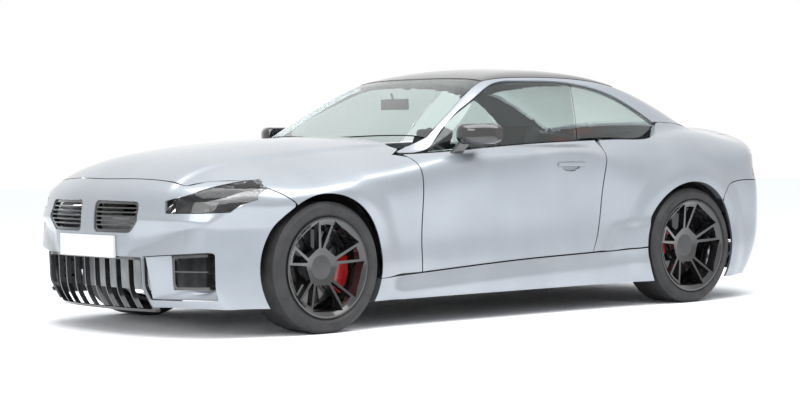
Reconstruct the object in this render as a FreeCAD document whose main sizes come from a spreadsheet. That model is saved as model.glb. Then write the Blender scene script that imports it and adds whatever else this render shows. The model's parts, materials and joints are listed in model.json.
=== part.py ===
import FreeCAD, Part
import math
import os
import re

import Sketcher

# Coupe car, millimetres. +X forward, +Y left, +Z up, origin on the ground under the middle of the car.
# The painted body is one smooth form, worked out from a few lines. Each panel is a patch of that form.

doc = FreeCAD.newDocument("Coupe")
Vector = FreeCAD.Vector

SIZES = {
    # Whole car
    "length": 4580, "width": 1887, "height": 1403, "wheelbase": 2747, "front_overhang": 857,
    "front_track": 1617, "rear_track": 1605,
    # Body form
    "body_round": 24, "cabin_round": 20, "join_round": 14, "screen_sweep": 62, "back_sweep": 110,
    "roof_crown": 42, "flare_bulge": 24, "flare_lip": 36, "flare_fade": 130, "arch_gap": 42,
    # Creases: the ledge along the sill, the blister ahead of the rear wheel, the hood's dome and the nose
    "crease_round": 7, "ledge_out": 34, "ledge_drop": 76, "blister_out": 26, "blister_ramp": 40, "dome_rise": 11,
    "dome_ramp": 34, "shelf_out": 15, "shelf_in": 12, "shelf_drop": 40, "blade_round": 9,
    "blade_step": 50,
    # Gaps and wall thicknesses
    "shut_gap": 5.5, "door_gap": 8, "seat_gap": 0.6, "hood_wall": 22, "fender_wall": 7, "roof_wall": 26,
    "quarter_wall": 45, "pillar_wall": 34, "door_wall": 85, "door_lip": 40, "door_foot": 5, "bumper_wall": 14,
    "lid_wall": 22,
    "screen_glass": 6, "side_glass": 5, "lamp_depth": 70, "duct_wall": 5, "duct_depth": 60, "overrun": 60,
    # Shut lines
    "hood_rear": 740, "hood_setback": 132, "lid_front": 1652, "cowl_depth": 78, "belt_step": 6,
    "ground_gap": 140, "skirt_bottom": 146,
    # Tyres and wheels
    "front_tyre_radius": 337.5, "rear_tyre_radius": 339.5, "front_tyre_width": 264, "rear_tyre_width": 274,
    "front_rim_radius": 258, "rear_rim_radius": 271, "front_rim_width": 250, "rear_rim_width": 260,
    "disc_radius": 192, "bead_gap": 0.6, "spoke_pairs": 5,
    # Steering and axles
    "kingpin_inset": 78, "pin_radius": 14, "pin_gap": 0.4, "eye_radius": 27, "eye_height": 24, "pin_reach": 130,
    "bearing_radius": 58, "arm_radius": 17, "strut_radius": 26, "strut_inset": 120, "strut_top": 800,
    "subframe_half": 330, "subframe_depth": 70, "subframe_length": 150, "axle_radius": 22,
    "knuckle_half": 24, "liner_gap": 30, "liner_wall": 4, "liner_inner": 505, "liner_outer": 838,
    "rear_liner_gap": 4, "caliper_span": 58, "caliper_radius": 212, "caliper_gap": 6,
    # Engine and cooling
    "engine_length": 640, "engine_width": 520, "engine_height": 554, "engine_front": 1720, "engine_bottom": 196,
    "radiator_depth": 60, "radiator_width": 760, "radiator_height": 380, "radiator_front": 2085,
    "radiator_bottom": 225,
    # Floor pan
    "floor_wall": 30, "floor_bottom": 148, "floor_front": 960, "floor_rear": 900, "floor_half": 806,
    "tunnel_half": 125, "tunnel_height": 190, "bulkhead_front": 930, "bulkhead_wall": 40, "bulkhead_top": 850,
    "bulkhead_half": 690, "rail_half": 455, "rail_width": 70, "rail_height": 110, "rail_bottom": 400,
    "rail_front": 2020, "seat_floor_top": 420, "boot_floor_top": 500, "boot_half": 480, "boot_rear": 2120,
    "shelf_top": 890, "shelf_half": 560, "shelf_front": 1120, "shelf_rear": 1650,
    # Cabin
    "seat_width": 500, "seat_length": 520, "seat_base": 260, "seat_thick": 130, "seat_back": 640, "seat_y": 385,
    "seat_x": 40, "seat_lean": 22, "head_width": 270, "rear_seat_width": 980,
    "dash_width": 1290, "dash_depth": 330, "dash_height": 180, "dash_top": 850, "dash_front": 700,
    "wheel_ring": 182, "wheel_rim": 15, "wheel_x": 215, "wheel_y": 385, "wheel_z": 790, "wheel_tilt": 24,
    "cabin_mirror_width": 230, "cabin_mirror_height": 62, "cabin_mirror_depth": 26,
    # Door mirror and door handle
    "mirror_x": 315, "mirror_rise": 76, "mirror_reach": 1040, "mirror_width": 190, "mirror_height": 112,
    "mirror_depth": 180, "mirror_foot": 26, "handle_x": 336, "handle_z": 838, "handle_length": 212,
    "handle_height": 26, "handle_out": 11, "handle_cup": 30,
    # Plates, pipes and jack pads
    "plate_width": 520, "plate_height": 112, "plate_thick": 20, "front_plate_z": 457, "rear_plate_z": 520,
    "pipe_radius": 50, "pipe_wall": 4, "pipe_length": 160, "pipe_y": 520, "pipe_step": 112, "pipe_z": 262,
    "pipe_inset": 92,
    "jack_pad": 60, "jack_pad_height": 12, "jack_front": 760, "jack_rear": 700, "jack_y": 745,
}

sheet = doc.addObject("Spreadsheet::Sheet", "Sizes")
for row, (alias, value) in enumerate(SIZES.items(), start=1):
    sheet.set("A%d" % row, alias)
    sheet.set("B%d" % row, str(value))
    sheet.setAlias("B%d" % row, alias)
doc.recompute()


def size(alias):
    """Read one driving dimension from the sheet."""
    return float(sheet.get(alias))


HALF_LENGTH = size("length") / 2
HALF_WIDTH = size("width") / 2
HEIGHT = size("height")
FRONT_AXLE = HALF_LENGTH - size("front_overhang")
REAR_AXLE = FRONT_AXLE - size("wheelbase")
FRONT_ARCH = size("front_tyre_radius") + size("arch_gap")
REAR_ARCH = size("rear_tyre_radius") + size("arch_gap")
GAP = size("shut_gap")
OVERRUN = size("overrun")


# Smooth lines through a few chosen points
class Line:
    """Natural cubic spline through points given as shares, straight beyond its ends."""

    def __init__(self, points, run, rise):
        ordered = sorted(points)
        self.at = [point[0] * run for point in ordered]
        self.value = [point[1] * rise for point in ordered]
        self.bend = self.solve_bends()

    def solve_bends(self):
        """Solve for the second derivative at each point."""
        count = len(self.at)
        bends = [0.0] * count
        carry = [0.0] * count
        for i in range(1, count - 1):
            span = self.at[i + 1] - self.at[i - 1]
            part = (self.at[i] - self.at[i - 1]) / span
            pivot = part * bends[i - 1] + 2
            bends[i] = (part - 1) / pivot
            rise_after = (self.value[i + 1] - self.value[i]) / (self.at[i + 1] - self.at[i])
            rise_before = (self.value[i] - self.value[i - 1]) / (self.at[i] - self.at[i - 1])
            carry[i] = (6 * (rise_after - rise_before) / span - part * carry[i - 1]) / pivot
        for i in range(count - 2, -1, -1):
            bends[i] = bends[i] * bends[i + 1] + carry[i]
        bends[0] = 0.0
        return bends

    def __call__(self, x):
        at, value, bend = self.at, self.value, self.bend
        last = len(at) - 1
        if x <= at[0]:
            return value[0] + (x - at[0]) * self.slope(0)
        if x >= at[last]:
            return value[last] + (x - at[last]) * self.slope(last)
        low, high = 0, last
        while high - low > 1:
            middle = (low + high) // 2
            if at[middle] > x:
                high = middle
            else:
                low = middle
        span = at[high] - at[low]
        before = (at[high] - x) / span
        after = (x - at[low]) / span
        curve = (before ** 3 - before) * bend[low] + (after ** 3 - after) * bend[high]
        return before * value[low] + after * value[high] + curve * span * span / 6

    def slope(self, end):
        """Slope at the first or the last point."""
        first, second = (0, 1) if end == 0 else (end - 1, end)
        span = self.at[second] - self.at[first]
        rise = (self.value[second] - self.value[first]) / span
        bend = self.bend[second] if end == 0 else self.bend[first]
        return rise - bend * span / 6 if end == 0 else rise + bend * span / 6


def share_points(points):
    """Side view points from shares of half the length and of the height."""
    return [(x * HALF_LENGTH, z * HEIGHT) for x, z in points]


def side_edge(points):
    """Start and direction of a straight line in the side view, from two points as shares."""
    (x_start, z_start), (x_end, z_end) = share_points(points)
    length = math.hypot(x_end - x_start, z_end - z_start)
    return x_start, z_start, (x_end - x_start) / length, (z_end - z_start) / length


def below(x, z, edge):
    """Distance of a side view point from a line, positive on its right hand."""
    x_start, z_start, run, rise = edge
    return (z - z_start) * run - (x - x_start) * rise


# Body lines: x as shares of half the length, y of half the width, z of the height
top_line = Line(((-1.0, 0.757), (-0.935, 0.757), (-0.885, 0.745), (-0.83, 0.748), (-0.72, 0.772), (-0.5, 0.757),
                 (-0.22, 0.741), (0.035, 0.729), (0.262, 0.708), (0.375, 0.710), (0.5, 0.704), (0.626, 0.692),
                 (0.755, 0.669), (0.88, 0.619), (0.929, 0.580), (0.966, 0.545), (1.0, 0.505)), HALF_LENGTH, HEIGHT)
shoulder_drop = Line(((-1.0, 0.075), (-0.83, 0.068), (-0.72, 0.064), (-0.5, 0.045), (-0.22, 0.038), (0.035, 0.037),
                      (0.262, 0.048), (0.375, 0.078), (0.5, 0.092), (0.626, 0.104), (0.786, 0.095), (0.929, 0.085),
                      (1.0, 0.08)), HALF_LENGTH, HEIGHT)
SHOULDER_SHARE = 0.827
CROWN_POWER_SHARE = 2.5
side_plan = Line(((-1.0, 0.92), (-0.9, 0.955), (-0.76, 0.975), (-0.574, 0.985), (-0.4, 0.972), (-0.22, 0.961),
                  (0.044, 0.961), (0.262, 0.961), (0.39, 0.968), (0.626, 0.985), (0.78, 0.98), (0.9, 0.955),
                  (1.0, 0.92)), HALF_LENGTH, HALF_WIDTH)
side_section = Line(((0.0, -0.12), (0.107, -0.045), (0.17, -0.037), (0.235, -0.033), (0.32, -0.034), (0.428, -0.019),
                     (0.549, 0.0), (0.613, -0.016), (0.677, -0.088), (0.74, -0.19), (0.82, -0.33)),
                    HEIGHT, HALF_WIDTH)
nose_line = Line(((0.0, 0.93), (0.093, 0.966), (0.143, 0.985), (0.235, 0.994), (0.32, 0.996), (0.4, 0.996),
                  (0.49, 0.99), (0.545, 0.975), (0.6, 0.94), (0.7, 0.85)), HEIGHT, HALF_LENGTH)
nose_sweep = Line(((-0.318, 0.005), (0.0, 0.0), (0.318, 0.005), (0.482, 0.021), (0.636, 0.044), (0.742, 0.066),
                   (0.848, 0.1), (0.933, 0.145), (1.0, 0.21), (1.1, 0.34)), HALF_WIDTH, HALF_LENGTH)
tail_line = Line(((0.0, 0.91), (0.093, 0.932), (0.143, 0.957), (0.26, 0.99), (0.356, 0.9945), (0.456, 0.9935),
                  (0.513, 0.988), (0.57, 0.977), (0.632, 0.971), (0.686, 0.95), (0.723, 0.937), (0.76, 0.928),
                  (0.82, 0.9)), HEIGHT, HALF_LENGTH)
tail_sweep = Line(((-0.424, 0.009), (0.0, 0.0), (0.424, 0.009), (0.636, 0.034), (0.795, 0.07), (0.848, 0.092),
                   (0.9, 0.118), (0.975, 0.175), (1.0, 0.22), (1.1, 0.36)), HALF_WIDTH, HALF_LENGTH)
cabin_plan = Line(((-0.79, 0.65), (-0.72, 0.70), (-0.611, 0.763), (-0.492, 0.812), (-0.216, 0.853), (0.035, 0.85),
                   (0.131, 0.84), (0.262, 0.80), (0.4, 0.75)), HALF_LENGTH, HALF_WIDTH)
tumblehome = Line(((0.0, 0.25), (0.4, 0.06), (0.6, -0.005), (0.677, 0.0), (0.713, 0.022), (0.784, 0.083),
                   (0.834, 0.135), (0.891, 0.195), (0.934, 0.243), (0.97, 0.31), (1.0, 0.42)), HEIGHT, HALF_WIDTH)
roof_line = Line(((-0.75, 0.80), (-0.59, 0.901), (-0.4585, 0.961), (-0.306, 0.995), (-0.175, 1.0005),
                  (-0.0655, 0.991), (0.022, 0.97), (0.2, 0.915)), HALF_LENGTH, HEIGHT)
screen_line = Line(((0.6, 0.43), (0.702, 0.318), (0.83, 0.178), (0.95, 0.042), (1.0, -0.02)), HEIGHT, HALF_LENGTH)
back_line = Line(((0.62, 0.9), (0.712, 0.79), (0.773, 0.723), (0.875, 0.595), (0.9515, 0.468), (1.0, 0.35)),
                 HEIGHT, HALF_LENGTH)
SCREEN_SLOPE_SHARE = 0.48
BACK_SLOPE_SHARE = 0.4
ROOF_EDGE_SHARE = 0.615
SCREEN_EDGE_SHARE = 0.636
BODY_ROUND = size("body_round")
CABIN_ROUND = size("cabin_round")
JOIN_ROUND = size("join_round")
SCREEN_SWEEP = size("screen_sweep")
BACK_SWEEP = size("back_sweep")
ROOF_CROWN = size("roof_crown")
FLARE = (size("flare_bulge"), size("flare_lip"), size("flare_fade"))
CREASE = size("crease_round")
LEDGE_OUT = size("ledge_out")
LEDGE_DROP = size("ledge_drop")
BLISTER_OUT = size("blister_out")
BLISTER_RAMP = size("blister_ramp")
DOME_RISE = size("dome_rise")
DOME_RAMP = size("dome_ramp")
SHELF_OUT = size("shelf_out")
SHELF_IN = size("shelf_in")
SHELF_DROP = size("shelf_drop")
BLADE_ROUND = size("blade_round")
BLADE_STEP = size("blade_step")
SHOULDER = SHOULDER_SHARE * HALF_WIDTH
FRONT_HUB = size("front_tyre_radius")
REAR_HUB = size("rear_tyre_radius")

# Shut line between door and sill, and the crest of the side in the side view
sill_line = Line(((-0.41, 0.243), (-0.25, 0.233), (0.0, 0.222), (0.38, 0.192), (0.5, 0.184)), HALF_LENGTH, HEIGHT)
crest_line = Line(((-1.0, 0.549), (-0.72, 0.549), (-0.5, 0.542), (-0.393, 0.54), (-0.31, 0.566), (-0.242, 0.612),
                   (-0.02, 0.616), (0.154, 0.5745), (0.334, 0.538), (0.536, 0.503), (0.617, 0.5225), (0.704, 0.49),
                   (0.782, 0.443), (0.85, 0.395), (0.95, 0.385)), HALF_LENGTH, HEIGHT)
CREST_SHARES = (0.235, 0.549, 0.677)
LEDGE_FRONT_SHARES = (0.385, 0.06)
blister_front = side_edge(((-0.247, 0.195), (-0.301, 0.348)))
blister_top = side_edge(((-0.301, 0.348), (-0.416, 0.367)))
BLISTER_END_SHARES = (0.05, 0.07)
DOME_EDGE_SHARE = 0.615
DOME_FRONT_SHARES = (0.88, 0.14)
DOME_REAR_SHARES = (0.32, 0.1)
shelf_top = Line(((0.3, 0.43), (0.5, 0.428), (0.785, 0.415), (0.93, 0.412)), HALF_WIDTH, HEIGHT)
shelf_valley = Line(((0.3, 0.285), (0.48, 0.318), (0.8, 0.405), (0.93, 0.409)), HALF_WIDTH, HEIGHT)
SHELF_SPAN_SHARES = (0.44, 0.09, 0.84, 0.08)
SHELF_BASE_SHARES = (0.312, 0.15)
BLADE_FRONT_SHARES = (0.893, 0.848)
BLADE_REAR_SHARES = (0.768, 0.938)
BLADE_TOP_SHARES = (0.4, 0.07)


def smooth_max(values, rounding):
    """The largest value, with the corner between values rounded."""
    top = max(values)
    return top + rounding * math.log(sum(math.exp((value - top) / rounding) for value in values))


def fade(distance, length):
    """Fall from one to zero as a distance grows from zero to a length."""
    share = min(max(distance / length, 0.0), 1.0)
    return (1 + math.cos(math.pi * share)) / 2


def ramp(distance, length):
    """Rise from zero to one over a length, with both corners rounded."""
    low = smooth_max((distance, 0.0), CREASE)
    high = smooth_max((distance - length, 0.0), CREASE)
    return (low - high) / length


def flare(x, z):
    """Bulge of the side round both wheel arches."""
    bulge, lip, length = FLARE
    front = math.hypot(x - FRONT_AXLE, z - FRONT_HUB) - FRONT_ARCH - lip
    rear = math.hypot(x - REAR_AXLE, z - REAR_HUB) - REAR_ARCH - lip
    return bulge * (fade(front, length) + fade(rear, length))


def ledge(x, z):
    """Step of the side outwards below the doors, with a sloping top."""
    start, length = LEDGE_FRONT_SHARES
    front = fade(x - start * HALF_LENGTH, length * HALF_LENGTH)
    rear = fade(REAR_AXLE - x, REAR_ARCH)
    return LEDGE_OUT * front * rear * ramp(sill_line(x) - z, LEDGE_DROP)


def blister(x, z):
    """Raised panel ahead of the rear wheel, above the ledge."""
    inside = -smooth_max((-below(x, z, blister_front), -below(x, z, blister_top)), CREASE)
    end, length = BLISTER_END_SHARES
    behind = fade(REAR_AXLE + end * HALF_LENGTH - x, length * HALF_LENGTH)
    return BLISTER_OUT * behind * ramp(inside, BLISTER_RAMP)


def section_place(x, z):
    """Height at which the side's section is read, so that its crest follows the crest line."""
    low, crest, high = (share * HEIGHT for share in CREST_SHARES)
    here = crest_line(x)
    if z >= high or z <= low:
        return z
    if z > here:
        return crest + (z - here) * (high - crest) / (high - here)
    return low + (z - low) * (crest - low) / (here - low)


def side_reach(x, z):
    """Half width of the painted side."""
    proud = smooth_max((ledge(x, z), blister(x, z)), CREASE) - CREASE * math.log(2)
    return side_plan(x) + side_section(section_place(x, z)) + flare(x, z) + proud


def dome(x, y):
    """Raised middle of the hood between two long creases."""
    front, front_length = DOME_FRONT_SHARES
    rear, rear_length = DOME_REAR_SHARES
    along_hood = fade(x - front * HALF_LENGTH, front_length * HALF_LENGTH)
    along_hood *= fade(rear * HALF_LENGTH - x, rear_length * HALF_LENGTH)
    return DOME_RISE * along_hood * ramp(DOME_EDGE_SHARE * HALF_WIDTH - y, DOME_RAMP)


def nose_relief(y, z):
    """Shelf under the headlamp, the hollow below it and the lip over the side intake."""
    start, start_length, end, end_length = (share * HALF_WIDTH for share in SHELF_SPAN_SHARES)
    window = fade(start - y, start_length) * fade(y - end, end_length)
    if window == 0.0:
        return 0.0
    top, valley = shelf_top(y), shelf_valley(y)
    base, foot = (share * HEIGHT for share in SHELF_BASE_SHARES)
    depth = min((top - valley) / SHELF_DROP, 1.0)
    shelf = ramp(top + SHELF_DROP - z, SHELF_DROP)
    fall = ramp(top - z, CREASE + (top - valley) / 2)
    climb = ramp(valley - z, valley - base + CREASE)
    relief = SHELF_OUT * shelf - (SHELF_OUT + SHELF_IN) * depth * (fall - climb)
    return window * relief * ramp(z - foot, SHELF_DROP)


def blade(x, y, z):
    """Flat face between the side intake and the front wheel, below a sloping step."""
    (x_front, x_rear), (y_front, y_rear) = zip(BLADE_FRONT_SHARES, BLADE_REAR_SHARES)
    run = (x_front - x_rear) * HALF_LENGTH
    rise = (y_rear - y_front) * HALF_WIDTH
    top, drop = (share * HEIGHT for share in BLADE_TOP_SHARES)
    face = ((x - x_front * HALF_LENGTH) * rise + (y - y_front * HALF_WIDTH) * run) / math.hypot(run, rise)
    return face - BLADE_STEP * ramp(z - top, drop)


def lower_form(x, y, z):
    """Below zero inside the body under the windows, zero on its skin."""
    y = abs(y)
    side = y - side_reach(x, z)
    top = z - top_line(x) - dome(x, y) + shoulder_drop(x) * (y / SHOULDER) ** CROWN_POWER_SHARE
    nose = x - nose_line(z) + nose_sweep(y) - nose_relief(y, z)
    tail = -x - tail_line(z) + tail_sweep(y)
    front = smooth_max((nose, blade(x, y, z)), BLADE_ROUND)
    return smooth_max((side, top, front, tail), BODY_ROUND)


def cabin_form(x, y, z):
    """Below zero inside the cabin above the belt, zero on its skin."""
    y = abs(y)
    side = y - cabin_plan(x) + tumblehome(z)
    roof = z - roof_line(x) + ROOF_CROWN * (y / (ROOF_EDGE_SHARE * HALF_WIDTH)) ** 2
    edge = y / (SCREEN_EDGE_SHARE * HALF_WIDTH)
    screen = (x - screen_line(z) + SCREEN_SWEEP * edge ** 3) * SCREEN_SLOPE_SHARE
    back = (-x - back_line(z) + BACK_SWEEP * edge ** 2) * BACK_SLOPE_SHARE
    return smooth_max((side, roof, screen, back), CABIN_ROUND)


def body_form(x, y, z):
    """Cabin and lower body joined with a small fillet."""
    return -smooth_max((-lower_form(x, y, z), -cabin_form(x, y, z)), JOIN_ROUND)


# Points on the form
def meet(form, start, step, level):
    """Go from a start inside the form along a step until the form's value is the level."""
    def value(part):
        return form(start[0] + part * step[0], start[1] + part * step[1], start[2] + part * step[2]) - level

    low, high = 0.0, 1.0
    below, above = value(low), value(high)
    for _ in range(40):
        if abs(above - below) < 1e-9:
            break
        part = low - below * (high - low) / (above - below)
        if not low < part < high:
            part = (low + high) / 2
        here = value(part)
        if abs(here) < 1e-4:
            low = part
            break
        if here < 0:
            low, below = part, here
            above = above / 2
        else:
            high, above = part, here
            below = below / 2
    return tuple(start[i] + low * step[i] for i in range(3))


def on_side(x, z, form=body_form, level=0.0):
    """Point of the left side at a place in the side view."""
    inside = 0.3 * HALF_WIDTH
    return meet(form, (x, inside, z), (0.0, HALF_WIDTH, 0.0), level)


def on_top(x, y, form=body_form, level=0.0):
    """Point of the upper skin at a place in the plan view."""
    inside = 0.35 * HEIGHT
    return meet(form, (x, y, inside), (0.0, 0.0, HEIGHT), level)


def on_nose(y, z, form=lower_form, level=0.0):
    """Point of the nose at a place in the front view."""
    inside = 0.55 * HALF_LENGTH
    return meet(form, (inside, y, z), (0.6 * HALF_LENGTH, 0.0, 0.0), level)


def onto(point, form=body_form, level=0.0):
    """Move a point along the ray from the car's spine until it lies on the form."""
    spine = (min(max(point[0], -0.6 * HALF_LENGTH), 0.55 * HALF_LENGTH), 0.0, 0.36 * HEIGHT)
    step = tuple(2 * (point[i] - spine[i]) for i in range(3))
    return meet(form, spine, step, level)


def blend(first, second, share):
    """Point between two points."""
    return tuple(first[i] + (second[i] - first[i]) * share for i in range(3))


def along(points, count):
    """Even points on a smooth curve through a few points."""
    runs = [0.0]
    for before, after in zip(points, points[1:]):
        runs.append(runs[-1] + math.dist(before, after))
    lines = [Line([(run, point[i]) for run, point in zip(runs, points)], 1, 1) for i in range(len(points[0]))]
    return [tuple(line(runs[-1] * i / count) for line in lines) for i in range(count + 1)]


def coons(bottom, top, left, right):
    """Grid of points filling four edges that share their corners."""
    across = len(bottom) - 1
    upward = len(left) - 1
    grid = []
    for i in range(across + 1):
        s = i / across
        row = []
        for j in range(upward + 1):
            t = j / upward
            ruled = blend(bottom[i], top[i], t)
            other = blend(left[j], right[j], s)
            corner = blend(blend(bottom[0], bottom[-1], s), blend(top[0], top[-1], s), t)
            row.append(tuple(ruled[k] + other[k] - corner[k] for k in range(3)))
        grid.append(row)
    return grid


# Solids from patches
def even_curve(points):
    """Smooth curve through points that lie at even steps of its parameter."""
    curve = Part.BSplineCurve()
    steps = [i / (len(points) - 1) for i in range(len(points))]
    curve.interpolate(Points=[Vector(*point) for point in points], Parameters=steps)
    return curve


def surface(grid):
    """Smooth surface through a grid of points, first along its rows and then across them."""
    rows = [even_curve(row) for row in grid]
    columns = [even_curve(column) for column in zip(*[row.getPoles() for row in rows])]
    poles = [list(row) for row in zip(*[column.getPoles() for column in columns])]
    u_curve, v_curve = columns[0], rows[0]
    skin = Part.BSplineSurface()
    skin.buildFromPolesMultsKnots(poles, u_curve.getMultiplicities(), v_curve.getMultiplicities(),
                                  u_curve.getKnots(), v_curve.getKnots(), False, False,
                                  u_curve.Degree, v_curve.Degree)
    return skin


def slab(outer, inner):
    """Closed solid between two grids of points, with a straight border on each of its four sides."""
    columns = [list(zip(*grid)) for grid in (outer, inner)]
    borders = [(outer[0], inner[0]), (outer[-1], inner[-1]), (columns[0][0], columns[1][0]),
               (columns[0][-1], columns[1][-1])]
    faces = [surface(outer).toShape(), surface(inner).toShape()]
    faces += [surface(list(zip(first, second))).toShape() for first, second in borders]
    shell = Part.Shell(Part.makeShell(faces).Faces)
    shell.sewShape()
    solid = Part.Solid(shell)
    if solid.Volume < 0:
        solid.reverse()
    return solid


def panel(targets, wall, form=body_form, level=0.0):
    """Wall of the given thickness under a patch of the form."""
    outer = [[onto(point, form, level) for point in row] for row in targets]
    inner = [[onto(point, form, level - wall) for point in row] for row in targets]
    return slab(outer, inner)


def side_panel(corners_bottom, corners_top, across, upward, wall, form=body_form, level=0.0):
    """Panel between two lines of the side view, each a list of x and z."""
    bottom = along([on_side(x, z, form, level) for x, z in corners_bottom], across)
    top = along([on_side(x, z, form, level) for x, z in corners_top], across)
    targets = [[blend(bottom[i], top[i], j / upward) for j in range(upward + 1)] for i in range(across + 1)]
    return panel(targets, wall, form, level)


def plan_panel(rear, front, half, across, upward, wall, form=body_form, level=0.0):
    """Panel seen from above between two cross lines, x of y, with a half width along its length."""
    targets = []
    for i in range(across + 1):
        s = i / across
        y_edge = half(s)
        row = []
        for j in range(upward + 1):
            y = y_edge * (2 * j / upward - 1)
            x = rear(y) + (front(y) - rear(y)) * s
            row.append(on_top(x, y, form, level))
        targets.append(row)
    return panel(targets, wall, form, level)


def mirrored(shape):
    """The same shape on the other side of the car."""
    return shape.mirror(Vector(0, 0, 0), Vector(0, 1, 0))


def both(shape):
    """A shape and its mirror image as one compound."""
    return Part.makeCompound([shape, mirrored(shape)])


def post(x, z, radius, y_start, y_end):
    """Round tool along Y."""
    return Part.makeCylinder(radius, y_end - y_start, Vector(x, y_start, z), Vector(0, 1, 0))


def block(low, high):
    """Box between two corners."""
    return Part.makeBox(high[0] - low[0], high[1] - low[1], high[2] - low[2], Vector(*low))


def rounded_edges(corners, radius):
    """Edges of a closed outline whose corners are rounded by arcs; a list gives each corner its own radius."""
    count = len(corners)
    radii = radius if isinstance(radius, list) else [radius] * count
    arcs = []
    for i in range(count):
        corner = corners[i]
        before, after = corners[i - 1] - corner, corners[(i + 1) % count] - corner
        room = min(before.Length, after.Length) * 0.45
        before.normalize()
        after.normalize()
        half_angle = before.getAngle(after) / 2
        reach = min(radii[i] / math.tan(half_angle), room)
        middle = before + after
        middle.normalize()
        depth = reach / math.cos(half_angle) - reach * math.tan(half_angle)
        arcs.append((corner + before * reach, corner + middle * depth, corner + after * reach))
    edges = []
    for i, (start, middle, end) in enumerate(arcs):
        edges.append(Part.Arc(start, middle, end).toShape())
        edges.append(Part.LineSegment(end, arcs[(i + 1) % count][0]).toShape())
    return edges


def prism(points, axis, start, end, radius=0.0):
    """Straight prism: points in the plane square to the axis, run from start to end."""
    order = {"x": lambda a, b: Vector(start, a, b), "y": lambda a, b: Vector(a, start, b),
             "z": lambda a, b: Vector(a, b, start)}[axis]
    run = {"x": Vector(end - start, 0, 0), "y": Vector(0, end - start, 0), "z": Vector(0, 0, end - start)}[axis]
    corners = [order(a, b) for a, b in points]
    if radius:
        return Part.Face(Part.Wire(rounded_edges(corners, radius))).extrude(run)
    return Part.Face(Part.makePolygon(corners + corners[:1])).extrude(run)


def shifted(points, distance):
    """Row of flat points moved to the left of its direction by a distance."""
    moved = []
    last = len(points) - 1
    for i, (a, b) in enumerate(points):
        before, after = points[max(i - 1, 0)], points[min(i + 1, last)]
        run, rise = after[0] - before[0], after[1] - before[1]
        length = math.hypot(run, rise)
        moved.append((a - rise / length * distance, b + run / length * distance))
    return moved


def inset(points, distance):
    """Closed outline moved inwards by a distance, corner by corner."""
    area = sum(a[0] * b[1] - b[0] * a[1] for a, b in zip(points, points[1:] + points[:1]))
    turn = math.copysign(distance, area)
    moved = []
    for i, (a, b) in enumerate(points):
        before, after = points[i - 1], points[(i + 1) % len(points)]
        normals = []
        for start, end in ((before, (a, b)), ((a, b), after)):
            run, rise = end[0] - start[0], end[1] - start[1]
            length = math.hypot(run, rise)
            normals.append((-rise / length, run / length))
        share = 1 + normals[0][0] * normals[1][0] + normals[0][1] * normals[1][1]
        moved.append((a + (normals[0][0] + normals[1][0]) * turn / share,
                      b + (normals[0][1] + normals[1][1]) * turn / share))
    return moved


def rod(start, end, radius):
    """Round bar between two points."""
    first, second = Vector(*start), Vector(*end)
    return Part.makeCylinder(radius, (second - first).Length, first, second - first)


def fused(shapes):
    """One solid from shapes that overlap."""
    whole = shapes[0].multiFuse(shapes[1:]) if len(shapes) > 1 else shapes[0]
    return whole.removeSplitter()


nodes = []


def place(name, shape):
    """Add a sub-part whose shape is worked out here."""
    item = doc.addObject("Part::Feature", name)
    item.Shape = shape
    item.Label = name
    nodes.append(item)
    return item


front_cutter = post(FRONT_AXLE, FRONT_HUB, FRONT_ARCH, 0.4 * HALF_WIDTH, 1.2 * HALF_WIDTH)
rear_cutter = post(REAR_AXLE, REAR_HUB, REAR_ARCH, 0.4 * HALF_WIDTH, 1.2 * HALF_WIDTH)


# Shut lines of the side view
door_front = share_points(((0.331, 0.2), (0.334, 0.4), (0.338, 0.55), (0.342, 0.643)))
door_rear = share_points(((-0.233, 0.237), (-0.2485, 0.309), (-0.259, 0.512), (-0.2725, 0.641), (-0.279, 0.690)))
belt_line = share_points(((0.342, 0.650), (0.275, 0.655), (0.035, 0.678), (-0.216, 0.6935), (-0.279, 0.6962),
                          (-0.492, 0.7)))
front_line = Line([(z / HEIGHT, x / HALF_LENGTH) for x, z in door_front], HEIGHT, HALF_LENGTH)
rear_line = Line([(z / HEIGHT, x / HALF_LENGTH) for x, z in door_rear], HEIGHT, HALF_LENGTH)
belt = Line([(x / HALF_LENGTH, z / HEIGHT) for x, z in belt_line], HALF_LENGTH, HEIGHT)
DOOR_GAP = size("door_gap")
BELT_STEP = size("belt_step")


def door_grid(across, upward, depth, lip, foot):
    """Points of the door's skin at a depth, which ends in a lip along the top edge and a lifted foot below."""
    grid = []
    for i in range(across + 1):
        s = i / across
        row = []
        for j in range(upward + 1):
            t = 1 - (1 - j / upward) ** BELT_POWER_SHARE
            x = front_line(0.0) * (1 - s) + rear_line(0.0) * s
            for _ in range(4):
                low = sill_line(x) + DOOR_GAP
                z = low + (belt(x) - BELT_STEP - low) * t
                x = (front_line(z) - DOOR_GAP) * (1 - s) + rear_line(z) * s
            point = on_side(x, z, lower_form)
            rise = t ** LIP_POWER_SHARE
            inwards = depth * (1 - rise) + lip * LIP_DEPTH_SHARE * rise
            lift = foot * (1 - t) ** LIP_POWER_SHARE
            row.append((point[0], point[1] - inwards, point[2] - lip * LIP_DROP_SHARE * rise + lift))
        grid.append(row)
    return grid


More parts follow.
